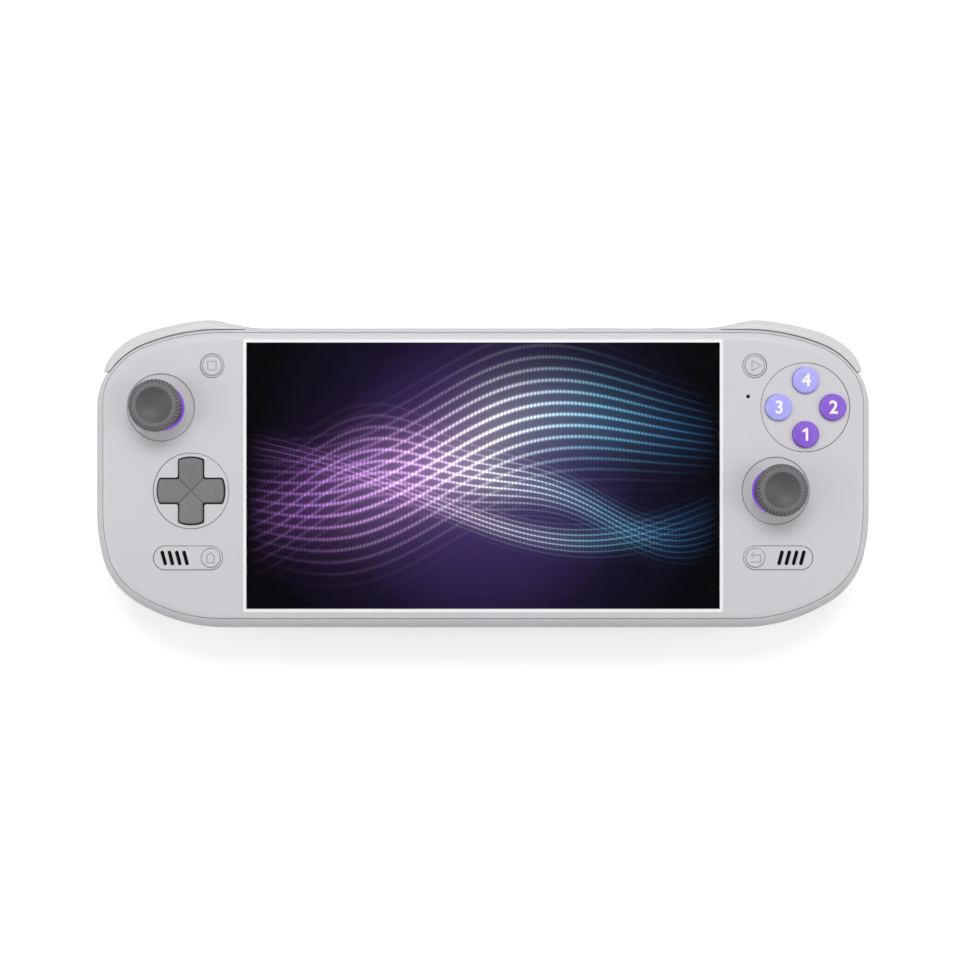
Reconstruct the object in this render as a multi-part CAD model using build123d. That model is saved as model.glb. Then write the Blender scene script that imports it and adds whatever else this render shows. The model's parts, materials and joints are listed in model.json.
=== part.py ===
from build123d import *
import math
import os

# Handheld game console. Sizes are in millimetres.
# It lies on its back: +X is its right, +Y its top edge, +Z comes out of the screen.
# Heights are above the grips it rests on, other places are from the screen's centre.

# Body and screen
screen_w = 139.5
screen_h = 78.5
side_w = 44.95
top_margin = 4.7
chin = 5.75
body_thick = 16.5
grip_depth = 6.5
wall = 1.8
cover_thick = 2.4
ledge_thick = 1.6
ledge_reach = 1.2
front_round = 4.5
back_round = 7.0
overrun = 2.0

# Outline corners, each of a side, a middle and an end arc
top_side_r = 17.5
top_mid_r = 24.0
top_end_r = 63.0
top_first_deg = 34.4
top_second_deg = 68.3
low_side_r = 57.0
low_mid_r = 22.5
low_end_r = 50.5
low_first_deg = 13.0
low_second_deg = 58.0

# Seam round the front cover, measured in from the outline
seam_side = 2.7
seam_top = 1.75
seam_low = 2.95
seam_gap = 0.15

# Grips: where the back starts to swell, how far below the top edge it ends, and its arcs
swell_share = 0.49
swell_end = 10.25
swell_r = 30.0

# Clearances
running = 0.05
sliding = 0.1
seat_gap = 0.02
line_gap = 0.14
free_gap = 0.3
touch = 0.002

# An edge whose direction has more than this share of +Z counts as upright
upright_share = 0.9

half_w = screen_w / 2 + side_w
top_y = screen_h / 2 + top_margin
low_y = screen_h / 2 + chin
face_z = grip_depth + body_thick
cover_low = face_z - cover_thick
ledge_low = cover_low - ledge_thick
floor_z = grip_depth + wall
ledge_y = top_y - seam_top - ledge_reach

# Shoulder outline over the bumpers, in from the side and down from the top edge: shares of
# the top corner's reach, which is the width that its three arcs take
top_reach = (top_side_r + (top_mid_r - top_side_r) * math.cos(math.radians(top_first_deg))
             + (top_end_r - top_mid_r) * math.cos(math.radians(top_second_deg)))
ramp_share = (1.2922, 0.0)
bumper_start_share = (1.1858, -0.0112)
bumper_rise_share = (1.0061, -0.0525)
shoulder_shares = ((0.8369, -0.0625), (0.4092, 0.0248), (0.1769, 0.1497), (0.0631, 0.3124))
bumper_tail_share = 0.3501

# Bumpers
bumper_low = 12.2
bumper_high = 21.4
bumper_round = 2.6
shelf = 1.2
rim_band = 0.95
wall_skin = 0.2
bumper_play = 0.36
pintle_r = 0.9
lug_r = 2.0
pintle_share = (1.0707, 0.1356)
lug_low = 13.4
lug_high = 19.0
pintle_deep = 1.2
arm_w = 3.0

# Triggers
trigger_in_share = 0.9525
trigger_out_share = 0.4582
trigger_pivot_share = 0.2535
trigger_pivot_z = 10.9
trigger_pin_r = 1.0
trigger_hub_r = 1.95
trigger_top = 10.6
trigger_tip = 2.5
trigger_thick = 1.7
trigger_dish = 1.3
trigger_flare = 1.4
trigger_inset = 0.5
trigger_root_share = 0.2
cheek_thick = 1.6
cheek_half = 2.6
spring_gap = 0.2
spring_wire_r = 0.25
spring_turns = 3
spring_pitch = 0.62

# Where the controls stand. Across, each takes a share of the room that its flange leaves between
# the screen's bracket and the outer ledge. Down the side, each keeps a gap to the one above it.
left_stick_share = 0.6918
right_stick_share = 0.1447
dpad_share = 0.0634
face_share = 0.8211
select_share = 0.0943
start_share = 0.101
pill_share = 0.1963
left_pill_down_share = 0.2142
right_pill_down_share = 0.2703
mic_share = 0.1373
small_drop = 11.6
select_gap = 4.13
start_gap = 0.8
dpad_stick_gap = 2.91
stick_face_gap = 0.86
mic_drop = 9.0
mic_r = 0.6

# Screen stack
trim_w = 0.95
trim_corner = 0.5
panel_thick = 1.4
bracket_thick = 1.0
bracket_over = 1.9
glass_sink = 0.05

# Analogue sticks
bezel_r = 9.9
bezel_inner_r = 6.9
bezel_dish = 0.55
bezel_edge = 0.25
flange_reach = 1.1
flange_thick = 1.0
ring_inner_r = 6.2
ring_ledge = 1.5
pivot_z = 14.6
dome_r = 8.9
dome_thick = 0.8
dome_edge_deg = 60.0
neck_r = 2.1
cap_r = 7.65
cap_top = 32.0
cap_lip_r = 6.2
cap_dish_r = 5.2
cap_dish = 1.0
cap_grip_low = 29.2
cap_grip_high = 30.6
cap_under = 27.6
stem_r = 1.5
stem_low = 11.7
stem_high = 26.5
gimbal_r = 6.6
gimbal_wall = 1.4
gimbal_tall = 2.2
gimbal_pin_r = 0.8
carrier_r = 4.4
carrier_tall = 3.2
carrier_pin_r = 0.7
base_bore_r = 9.2
base_wall = 1.2
base_low = 9.4
base_floor = 1.2

# Direction pad
dpad_ring_r = 11.15
dpad_half = 9.7
dpad_arm_w = 6.9
dpad_gap = 0.48
dpad_top = 23.9
dpad_hollow = 0.75
dpad_outer_r = 0.8
dpad_inner_r = 0.6
dpad_edge = 0.35
dpad_groove = 0.36
dpad_mark_r = 7.2
dpad_mark_len = 1.3
dpad_mark_w = 0.3
dpad_mark_deep = 0.12
dpad_disc_r = 10.6
dpad_disc_low = 19.1
dpad_disc_thick = 0.8
dpad_bezel_low = 21.0
ball_r = 2.0
ball_z = 19.3
ball_cover = 0.8
dpad_seat_r = 2.6

# Face buttons
plate_r = 13.1
plate_low = 20.6
face_pitch = 8.0
face_r = 3.87
face_top = 24.3
face_crown = 0.45
face_flange = 0.7
face_flange_thick = 0.8

# Small round buttons
collar_r = 3.5
small_r = 2.85
small_top = 23.35
small_edge = 0.3
small_gap = 0.14
small_travel = 0.4
small_flange = 0.7
small_flange_thick = 0.8
collar_flange = 0.6

# Speaker pills, each with its grille slots and one small button
pill_len = 20.4
pill_w = 7.0
pill_small_r = 2.8
slot_w = 1.15
slot_tall = 4.5
slot_pitch = 2.14
slot_first = 0.75
slot_count = 4
slot_tilt_deg = 15.0
speaker_len = 13.0
speaker_w = 9.2
speaker_deep = 5.0
speaker_edge = 0.8
grille_skin = 0.7
snout_w = 5.0
snout_end = 1.2

# Boards, rubber mats and switches
board_z = 16.2
board_thick = 1.0
mat_thick = 0.7
mat_dome = 0.3
mat_dome_r = 1.6
mat_w = 6.0
switch_w = 3.4
post_r = 1.7
post_in = 5.0
post_out = 10.0
post_up = 13.45
post_down = 10.5
main_z = 13.4
main_side_gap = 6.6
main_low_share = -0.08
chip_tall = 1.0
chip_w = 15.0
memory_w = 12.0
memory_gap = 7.5

# Battery, fan and heat sink
battery_w = 92.0
battery_h = 26.0
battery_thick = 4.7
battery_edge = 1.0
battery_gap = 1.0
fan_x = -30.0
fan_drop = 24.25
fan_r = 15.4
fan_skin = 0.8
fan_low = 8.7
fan_high = 12.8
fan_eye_r = 9.0
rotor_r = 13.6
rotor_hub_r = 5.2
blade_count = 11
blade_thick = 0.8
blade_lean_deg = 32.0
shaft_r = 0.75
fin_count = 13
fin_pitch = 2.2
fin_thick = 0.5
fin_deep = 5.5
pipe_w = 4.5
pipe_thick = 1.1

# Vents
intake_count = 9
intake_w = 1.3
intake_pitch = 2.7
vent_count = 11
vent_w = 1.3
vent_pitch = 2.5
vent_low = 9.6
vent_high = 16.8

# Ports on the lower edge
port_z = 15.8
usb_w = 8.94
usb_h = 3.26
usb_wall = 0.3
usb_deep = 7.35
usb_tongue_w = 6.7
usb_tongue = 0.7
jack_x = -27.0
jack_r = 1.8
jack_nose_r = 2.9
jack_w = 6.0
jack_deep = 12.5
jack_back = 1.2
card_x = 27.0
card_z = 14.2
card_w = 13.6
card_deep = 12.0
card_slot_w = 11.4
card_slot = 0.9
card_shell = 0.5
port_board_half = 38.0
port_board_deep = 5.0
port_flush = 0.25

# Keys on the top edge
power_in = 12.8
power_len = 7.2
volume_in = 20.5
volume_len = 16.2
key_travel = 0.25
key_w = 3.2
key_z = 15.8
key_proud = 0.3
key_flange = 0.9
key_flange_thick = 0.6
key_back_gap = 0.35
key_switch_w = 3.6

# Screws and motors
screw_in = 5.62
screw_out = 8.72
screw_below = 7.2
screw_low = 6.9
screw_side_share = -0.1
screw_r = 1.0
screw_head_r = 2.1
screw_head = 1.3
screw_seat = 11.0
screw_end = 18.6
boss_r = 2.25
boss_low = 12.6
well_r = 3.6
motor_r = 5.0
motor_thick = 3.0
motor_share = (0.5, -0.62)

cavity_top = ledge_low
board_top = board_z + board_thick
main_top = main_z + board_thick
shelf_low = bumper_low - free_gap - shelf
frame_shift = (low_y - top_y + shoulder_shares[0][1] * top_reach) / 2
main_half_w = screen_w / 2 - main_side_gap
power_x = half_w - ramp_share[0] * top_reach - power_in
volume_x = power_x - volume_in
fan_y = screen_h / 2 - fan_drop
battery_high = fan_y - fan_r - battery_gap
stick_reach = bezel_r + flange_reach
dpad_reach = dpad_ring_r + flange_reach
face_reach = plate_r + flange_reach
small_reach = collar_r + collar_flange
pill_reach = pill_len / 2 + collar_flange
pill_tall = pill_w + 2 * collar_flange
pill_end = pill_len / 2 - pill_w / 2


def across(share, reach):
    inner = trim_w + bracket_over + free_gap
    room = side_w - inner - seam_side - ledge_reach - 2 * reach
    return screen_w / 2 + inner + reach + share * room


# A small button and the round control beside it stay at least a gap apart at any width

def beside(small, x, reach, gap):
    apart = small_reach + reach + gap
    return (x, small[1] - apart ** 2 / (2 * (x - small[0])))


def under(upper, x, reaches, gap):
    return (x, upper[1] - math.sqrt((sum(reaches) + gap) ** 2 - (x - upper[0]) ** 2))


def pill_place(upper, reach, share):
    high = upper[1] - reach
    low = -(low_y - seam_low - ledge_reach)
    return (across(pill_share, pill_reach), high - pill_tall / 2 - share * (high - low - pill_tall))


def to_left(place):
    return (-place[0], place[1])


small_y = top_y - small_drop
select_right = (across(select_share, small_reach), small_y)
start_spot = (across(start_share, small_reach), small_y)
stick_upper = beside(select_right, across(left_stick_share, stick_reach), stick_reach, select_gap)
face_spot = beside(start_spot, across(face_share, face_reach), face_reach, start_gap)
dpad_right = under(stick_upper, across(dpad_share, dpad_reach), (stick_reach, dpad_reach), dpad_stick_gap)
right_stick = under(face_spot, across(right_stick_share, stick_reach), (face_reach, stick_reach),
                    stick_face_gap)
left_stick = to_left(stick_upper)
dpad_spot = to_left(dpad_right)
select_spot = to_left(select_right)
mic_spot = (across(mic_share, 0), small_y - mic_drop)


def pill_spot(side):
    if side > 0:
        return pill_place(right_stick, stick_reach, right_pill_down_share)
    return to_left(pill_place(dpad_right, dpad_reach, left_pill_down_share))


def pill_key(side):
    x, y = pill_spot(side)
    return (x - side * pill_end, y)


def screw_spots():
    inner = screen_w / 2 + screw_in
    rights = [(inner, small_y - screw_below), (inner, screw_low - low_y)]
    rights.append((half_w - screw_out, screw_side_share * screen_h / 2))
    return [(side * x, y) for x, y in rights for side in (-1, 1)]


def disc(radius, low, high, at=(0, 0)):
    return Pos(at[0], at[1], low) * extrude(Circle(radius), high - low)


def block(x_range, y_range, z_range):
    x0, x1 = min(x_range), max(x_range)
    y0, y1 = min(y_range), max(y_range)
    z0, z1 = min(z_range), max(z_range)
    centre = Pos((x0 + x1) / 2, (y0 + y1) / 2, (z0 + z1) / 2)
    return centre * Box(x1 - x0, y1 - y0, z1 - z0)


def turned(edges, at=(0, 0)):
    return Pos(at[0], at[1], 0) * revolve(Plane.XZ * make_face(edges), Axis.Z)


def turned_points(points, at=(0, 0)):
    return turned([Polyline(*points, close=True)], at)


def prism(face, low, high):
    return Pos(0, 0, low) * extrude(face, high - low)


def other_side(solid):
    return mirror(solid, Plane.YZ)


def moved_to(solid, place):
    return Pos(place[0], place[1], 0) * solid


def joined(solids):
    whole = solids[0]
    for solid in solids[1:]:
        whole += solid
    return whole


# Outline of the console seen from the front

def corner_arcs(half, reach, radii, turns):
    side_r, mid_r, end_r = radii
    first, second = math.radians(turns[0]), math.radians(turns[1])
    end_x = half - side_r - (mid_r - side_r) * math.cos(first) - (end_r - mid_r) * math.cos(second)
    end = (end_x, reach - end_r)
    mid = (end[0] + (end_r - mid_r) * math.cos(second), end[1] + (end_r - mid_r) * math.sin(second))
    side = (mid[0] + (mid_r - side_r) * math.cos(first), mid[1] + (mid_r - side_r) * math.sin(first))
    return [(side, side_r, 0, turns[0]), (mid, mid_r, *turns), (end, end_r, turns[1], 90)]


def outline(half, top, low, cut):
    top_radii = [radius - cut for radius in (top_side_r, top_mid_r, top_end_r)]
    low_radii = [radius - cut for radius in (low_side_r, low_mid_r, low_end_r)]
    top_arcs = corner_arcs(half, top, top_radii, (top_first_deg, top_second_deg))
    low_arcs = corner_arcs(half, low, low_radii, (low_first_deg, low_second_deg))
    edges = []
    for centre, radius, start, end in top_arcs:
        edges.append(CenterArc(centre, radius, start, end - start))
        edges.append(CenterArc((-centre[0], centre[1]), radius, 180 - start, start - end))
    for centre, radius, start, end in low_arcs:
        edges.append(CenterArc((centre[0], -centre[1]), radius, -start, start - end))
        edges.append(CenterArc((-centre[0], -centre[1]), radius, 180 + start, end - start))
    for side in (-1, 1):
        edges.append(Line((side * half, top_arcs[0][0][1]), (side * half, -low_arcs[0][0][1])))
    edges.append(Line((-top_arcs[2][0][0], top), (top_arcs[2][0][0], top)))
    edges.append(Line((-low_arcs[2][0][0], -low), (low_arcs[2][0][0], -low)))
    return make_face(edges)


def body_outline(inset):
    return outline(half_w - inset, top_y - inset, low_y - inset, inset)


def cover_outline(grow):
    half = half_w - seam_side + grow
    return outline(half, top_y - seam_top + grow, low_y - seam_low + grow, seam_side - grow)


# Solid of the body's outer or inner surface: a slab whose back swells into two grips

def hull(inset, top):
    body = prism(body_outline(inset), inset, top)
    turn = math.degrees(math.acos(1 - grip_depth / (2 * swell_r)))
    run = 2 * swell_r * math.sin(math.radians(turn))
    level = grip_depth + inset
    below = -overrun
    start_x = swell_share * half_w
    end_y = top_y - swell_end
    start_y = end_y - run
    ends_x = (start_x, start_x + run)
    side_cut = [Line((-ends_x[0], level), (ends_x[0], level))]
    side_cut.append(Line((-ends_x[1], below), (ends_x[1], below)))
    for side, turn_way in ((1, 1), (-1, -1)):
        inner = (side * ends_x[0], grip_depth - swell_r)
        outer = (side * ends_x[1], swell_r)
        side_cut.append(CenterArc(inner, swell_r + inset, 90, -turn_way * turn))
        side_cut.append(CenterArc(outer, swell_r - inset, 270, -turn_way * turn))
        side_cut.append(Line((side * ends_x[1], inset), (side * ends_x[1], below)))
    far_y = top_y + run
    end_cut = [
        CenterArc((start_y, swell_r), swell_r - inset, 270, turn),
        CenterArc((end_y, grip_depth - swell_r), swell_r + inset, 90, turn),
        Line((end_y, level), (far_y, level)),
        Line((far_y, level), (far_y, below)),
        Line((far_y, below), (start_y, below)),
        Line((start_y, below), (start_y, inset)),
    ]
    body -= extrude(Plane.XZ * make_face(side_cut), low_y + top_y, both=True)
    body -= extrude(Plane.YZ * make_face(end_cut), 2 * half_w, both=True)
    edge = body_outline(inset).wire()
    loop = []
    for piece in body.edges():
        middle = piece @ 0.5
        leaning = abs(piece.tangent_at(0.5).Z) < upright_share
        low = middle.Z < level + free_gap
        if leaning and low and edge.distance_to(Vertex(middle.X, middle.Y, 0)) < touch:
            loop.append(piece)
    return fillet(loop, back_round - inset)


def outer_hull():
    body = hull(0, face_z)
    rim = body.faces().sort_by(Axis.Z)[-1].edges()
    return fillet(rim, front_round)


# Shoulder block that both bumper and trigger are cut from, on the right side

def shoulder_point(share):
    return (half_w - share[0] * top_reach, top_y - share[1] * top_reach)


def tail_y():
    return top_y - bumper_tail_share * top_reach


def shoulder_face(inset):
    start = shoulder_point(ramp_share)
    inner = shoulder_point(bumper_start_share)
    rise = shoulder_point(bumper_rise_share)
    edges = [Line(start, inner), Line(inner, rise)]
    for share in shoulder_shares:
        edges.append(TangentArc(edges[-1] @ 1, shoulder_point(share), tangent=edges[-1] % 1))
    tail = (edges[-1] @ 1).X, tail_y()
    edges.append(Line(edges[-1] @ 1, tail))
    edges.append(Line(tail, (start[0], tail[1])))
    edges.append(Line((start[0], tail[1]), start))
    face = make_face(edges)
    return offset(face, -inset, kind=Kind.INTERSECTION) if inset else face


def shoulder_block():
    block_solid = prism(shoulder_face(0), bumper_low, bumper_high)
    rim = []
    for edge in block_solid.faces().sort_by(Axis.Z)[-1].edges():
        middle = edge @ 0.5
        if middle.Y > tail_y() + wall and middle.X > shoulder_point(ramp_share)[0] + wall:
            rim.append(edge)
    return fillet(rim, bumper_round)


def bumper_right():
    inner_x = shoulder_point(bumper_start_share)[0]
    body = shoulder_block()
    body -= prism(cover_outline(wall_skin + bumper_play), bumper_low - overrun, bumper_high + overrun)
    body -= prism(cover_outline(rim_band + bumper_play), cover_low - free_gap, bumper_high + overrun)
    body -= block((0, inner_x), (0, 2 * top_y), (0, face_z))
    hinge = shoulder_point(pintle_share)
    arm_top = top_y + wall / 2
    lug = disc(lug_r, lug_low, lug_high, hinge)
    lug += block((hinge[0] - arm_w / 2, hinge[0] + arm_w / 2), (hinge[1], arm_top), (lug_low, lug_high))
    pintle = disc(pintle_r, lug_low - pintle_deep, cover_low + pintle_deep - free_gap, hinge)
    return body + lug + pintle


def trigger_span():
    return [half_w - share * top_reach for share in (trigger_in_share, trigger_out_share)]


def trigger_pivot():
    return (top_y - trigger_pivot_share * top_reach, trigger_pivot_z)


def trigger_right():
    y, z = trigger_pivot()
    reach = top_y + trigger_flare
    root = y + (reach - y) * trigger_root_share
    top_inner = (root, trigger_top)
    top_outer = (reach + trigger_thick, trigger_top)
    tip_outer = (reach + trigger_thick / 4, trigger_tip)
    tip_inner = (tip_outer[0] - trigger_thick, trigger_tip)
    middle = (trigger_top + trigger_tip) / 2
    outside = ThreePointArc(top_outer, (reach - trigger_dish / 2, middle), tip_outer)
    inside_end = (root + trigger_thick, trigger_top - 2 * trigger_thick)
    inside = ThreePointArc(tip_inner, (reach - trigger_dish / 2 - trigger_thick, middle - trigger_thick / 4),
                           inside_end)
    low_root = (y, z - trigger_hub_r)
    high_root = (y, z + trigger_hub_r)
    edges = [
        Line(high_root, top_inner), Line(top_inner, top_outer), outside, Line(tip_outer, tip_inner),
        inside, Line(inside_end, low_root), Line(low_root, high_root),
    ]
    start, end = trigger_span()
    width = end - start
    paddle = Pos(start, 0, 0) * extrude(Plane.YZ * make_face(edges), width)
    hub = Pos(start, y, z) * extrude(Plane.YZ * Circle(trigger_hub_r), width)
    paddle = paddle & prism(shoulder_face(trigger_inset), 0, bumper_low)
    hub_room = spring_turns * spring_pitch + 4 * spring_wire_r
    hub -= block((start - overrun, start + hub_room), (0, y + trigger_hub_r + running), (0, face_z))
    paddle -= block((start - overrun, start + hub_room), (0, y + trigger_hub_r + free_gap), (0, face_z))
    hole = Plane.YZ * Circle(trigger_pin_r + running)
    bore = Pos(start - overrun, y, z) * extrude(hole, width + 2 * overrun)
    return paddle + hub - bore


def trigger_pin_right():
    start, end = trigger_span()
    y, z = trigger_pivot()
    length = end - start + 2 * free_gap + 2 * cheek_thick
    return Pos(start - free_gap - cheek_thick, y, z) * extrude(Plane.YZ * Circle(trigger_pin_r), length)


def trigger_spring_right():
    start, end = trigger_span()
    y, z = trigger_pivot()
    coil_r = trigger_pin_r + spring_gap + spring_wire_r
    path = Helix(spring_pitch, spring_pitch * spring_turns, coil_r)
    profile = Plane(origin=path @ 0, z_dir=path % 0) * Circle(spring_wire_r)
    coil = sweep(profile, path)
    return Pos(start + 2 * spring_wire_r, y, z) * Rot(0, 90, 0) * coil


# Front cover, with its window, control openings, bosses and posts

def slot_place(side, index):
    x, y = pill_spot(side)
    return (x + side * (slot_first + index * slot_pitch), y)


def pill(length, width):
    return SlotOverall(length, width)


def post_spots(side):
    level = right_stick[1] if side > 0 else dpad_spot[1]
    outer, inner = half_w - post_out, screen_w / 2 + post_in
    return [(side * outer, level - post_down), (side * inner, level + post_up)]


def front_cover():
    cover = outer_hull() & prism(cover_outline(0), cover_low, face_z + overrun)
    window = Rectangle(screen_w + 2 * trim_w + 2 * seat_gap, screen_h + 2 * trim_w + 2 * seat_gap)
    holes = prism(fillet(window.vertices(), trim_corner), cover_low - overrun, face_z + overrun)
    cover -= holes
    rounds = [(left_stick, bezel_r), (right_stick, bezel_r), (dpad_spot, dpad_ring_r), (face_spot, plate_r)]
    rounds += [(select_spot, collar_r), (start_spot, collar_r)]
    for place, radius in rounds:
        cover -= disc(radius + line_gap, cover_low - overrun, face_z + overrun, place)
    cover -= disc(mic_r, cover_low - overrun, face_z + overrun, mic_spot)
    for side in (-1, 1):
        x, y = pill_spot(side)
        opening = pill(pill_len + 2 * line_gap, pill_w + 2 * line_gap)
        cover -= Pos(x, y, 0) * prism(opening, cover_low - overrun, face_z + overrun)
        hinge = shoulder_point(pintle_share)
        bore = disc(pintle_r + running, cover_low - overrun, cover_low + pintle_deep, hinge)
        cover -= bore if side > 0 else other_side(bore)
        for place in post_spots(side):
            cover += disc(post_r, board_top, cover_low, place)
    for place in screw_spots():
        cover += disc(boss_r, boss_low, cover_low, place)
        cover -= disc(screw_r + seat_gap, boss_low - overrun, screw_end + free_gap, place)
    return cover


# Rear cover, with the sides, the grips, the vents and everything that is moulded inside

def shoulder_pocket():
    low = bumper_low - free_gap
    inner_x = shoulder_point(bumper_start_share)[0] - sliding
    zone = (inner_x, half_w + overrun), (tail_y() - bumper_play, 2 * top_y)
    lower = block(*zone, (low, cover_low)) - prism(cover_outline(wall_skin), low - overrun, face_z)
    upper = block(*zone, (cover_low - sliding, face_z + overrun))
    upper -= prism(cover_outline(rim_band), cover_low - overrun, face_z + 2 * overrun)
    hinge = shoulder_point(pintle_share)
    arm_room = lug_r + arm_w / 2
    arm_slot = block((hinge[0] - arm_room, hinge[0] + arm_room), (hinge[1], top_y + overrun),
                     (lug_low - free_gap, lug_high + free_gap))
    return lower + upper + arm_slot


def trigger_pocket():
    start, end = trigger_span()
    y, z = trigger_pivot()
    mouth = block((start - free_gap, end + free_gap), (y + free_gap, 2 * top_y), (-overrun, shelf_low))
    hub_room = Circle(trigger_hub_r + free_gap)
    return mouth + Pos(start - free_gap, y, z) * extrude(Plane.YZ * hub_room, end - start + 2 * free_gap)


def cheeks():
    start, end = trigger_span()
    y, z = trigger_pivot()
    pair = []
    for x in (start - free_gap - cheek_thick, end + free_gap):
        pair.append(block((x, x + cheek_thick), (y - cheek_half, y + cheek_half), (0, z + cheek_half)))
    return pair


def rear_cover():
    outer = outer_hull()
    cavity = hull(wall, cavity_top)
    shell = outer - cavity
    shell -= prism(cover_outline(seam_gap), cover_low, face_z + overrun)
    shell -= prism(cover_outline(-ledge_reach), ledge_low - overrun, face_z)

    inside = outer & prism(body_outline(wall / 2), 0, cavity_top)
    ramp_end = shoulder_point(bumper_start_share)[0] - sliding
    ramp = shoulder_block() & block((0, ramp_end), (0, 2 * top_y), (0, face_z))
    ramp -= prism(body_outline(wall / 2), 0, face_z)
    hinge = shoulder_point(pintle_share)
    hinge_post = disc(lug_r, floor_z - wall / 2, lug_low - sliding, hinge)
    hinge_post -= disc(pintle_r + running, lug_low - pintle_deep - sliding, lug_low, hinge)
    rib = joined(cheeks()) & inside
    pin = trigger_pin_right()
    for side in (1, -1):
        pocket, mouth = shoulder_pocket(), trigger_pocket()
        pieces = [ramp, hinge_post, rib]
        if side < 0:
            pocket, mouth = other_side(pocket), other_side(mouth)
            pieces = [other_side(piece) for piece in pieces]
            pin = other_side(pin)
        shell = shell - pocket - mouth
        for piece in pieces:
            shell += piece
        shell -= pin
    for place in screw_spots():
        well = disc(well_r, 0, boss_low - sliding, place) & inside
        shell += well
        shell -= disc(screw_r + free_gap, 0, boss_low, place)
        shell -= disc(screw_head_r + free_gap, -overrun, screw_seat, place)
    for x, y in main_post_spots():
        shell += disc(post_r, floor_z - wall / 2, main_z, (x, y))
    return shell - port_holes() - vents()


def main_post_spots():
    x = main_half_w - 2 * post_r
    levels = (battery_high + post_r + free_gap, screen_h / 2 - 2 * post_r)
    return [(side * x, y) for side in (-1, 1) for y in levels]


def vents():
    cuts = []
    radius = fan_eye_r + intake_pitch
    for index in range(intake_count):
        offset_x = (index - (intake_count - 1) / 2) * intake_pitch
        half = math.sqrt(radius ** 2 - offset_x ** 2) + intake_w
        cuts.append(Pos(fan_x + offset_x, fan_y, 0) * prism(SlotOverall(2 * half, intake_w, rotation=90),
                                                             0, floor_z + overrun))
    start = fan_x - (vent_count - 1) / 2 * vent_pitch
    for index in range(vent_count):
        slot = SlotOverall(vent_high - vent_low, vent_w, rotation=90)
        place = Pos(start + index * vent_pitch, top_y - 2 * wall, (vent_low + vent_high) / 2)
        cuts.append(place * extrude(Plane.XZ * slot, -(2 * wall + overrun)))
    return joined(cuts)


def on_edge(face, x, z, start, length):
    return Pos(x, start, z) * extrude(Plane.XZ * face, -length)


def port_holes():
    deep = wall + 2 * overrun
    usb = on_edge(SlotOverall(usb_w + 2 * sliding, usb_h + 2 * sliding), 0, port_z, -low_y - overrun, deep)
    jack = on_edge(Circle(jack_nose_r + sliding), jack_x, port_z, -low_y - overrun, deep)
    slot = Rectangle(card_slot_w + free_gap, card_slot + free_gap)
    card = on_edge(slot, card_x, card_z, -low_y - overrun, deep)
    keys = []
    for x, length in ((volume_x, volume_len), (power_x, power_len)):
        face = SlotOverall(length + 2 * sliding, key_w + 2 * sliding)
        keys.append(on_edge(face, x, key_z, top_y - wall - overrun, wall + 2 * overrun))
    return usb + jack + card + joined(keys)


# Screen

def screen_parts():
    outer = RectangleRounded(screen_w + 2 * trim_w, screen_h + 2 * trim_w, trim_corner)
    trim = prism(outer, cover_low, face_z)
    trim -= prism(Rectangle(screen_w, screen_h), cover_low - overrun, face_z + overrun)
    sheet = Rectangle(screen_w - 2 * running, screen_h - 2 * running)
    panel = prism(sheet, cover_low, cover_low + panel_thick)
    glass = prism(sheet, cover_low + panel_thick, face_z - glass_sink)
    half_x = screen_w / 2 + trim_w + bracket_over
    bracket_low = low_y - seam_low - ledge_reach - sliding
    bracket = block((-half_x, half_x), (-bracket_low, ledge_y - sliding),
                    (cover_low - bracket_thick, cover_low))
    return {"screen_trim": trim, "display_panel": panel, "screen_glass": glass, "display_bracket": bracket}


# Analogue sticks

def stick_bezel():
    dish_low = face_z - bezel_dish
    edge_r = bezel_r - bezel_edge
    dish_middle = ((bezel_inner_r + edge_r) / 2, dish_low + bezel_edge / 2)
    dish = ThreePointArc((bezel_inner_r, dish_low), dish_middle, (edge_r, face_z - bezel_edge))
    flange_r = bezel_r + flange_reach
    step_r = bezel_inner_r + ring_ledge
    step_z = cover_low + bezel_edge
    line = Polyline((edge_r, face_z - bezel_edge), (bezel_r, face_z), (bezel_r, cover_low),
                    (flange_r, cover_low), (flange_r, cover_low - flange_thick),
                    (step_r, cover_low - flange_thick), (step_r, step_z), (bezel_inner_r, step_z),
                    (bezel_inner_r, dish_low))
    return turned([dish, line])


def light_ring():
    outer_r = bezel_inner_r - seat_gap
    step_r = bezel_inner_r + ring_ledge - seat_gap
    step_z = cover_low + bezel_edge
    low = cover_low - flange_thick
    foot_r = math.sqrt((dome_r + free_gap) ** 2 - (low - pivot_z) ** 2) + sliding
    knee_z = pivot_z + math.sqrt((dome_r + free_gap) ** 2 - ring_inner_r ** 2) + sliding
    top = face_z - bezel_dish - bezel_edge / 2
    return turned_points([(ring_inner_r, top), (outer_r, top), (outer_r, step_z), (step_r, step_z),
                          (step_r, low), (foot_r, low), (ring_inner_r, knee_z)])


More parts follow.
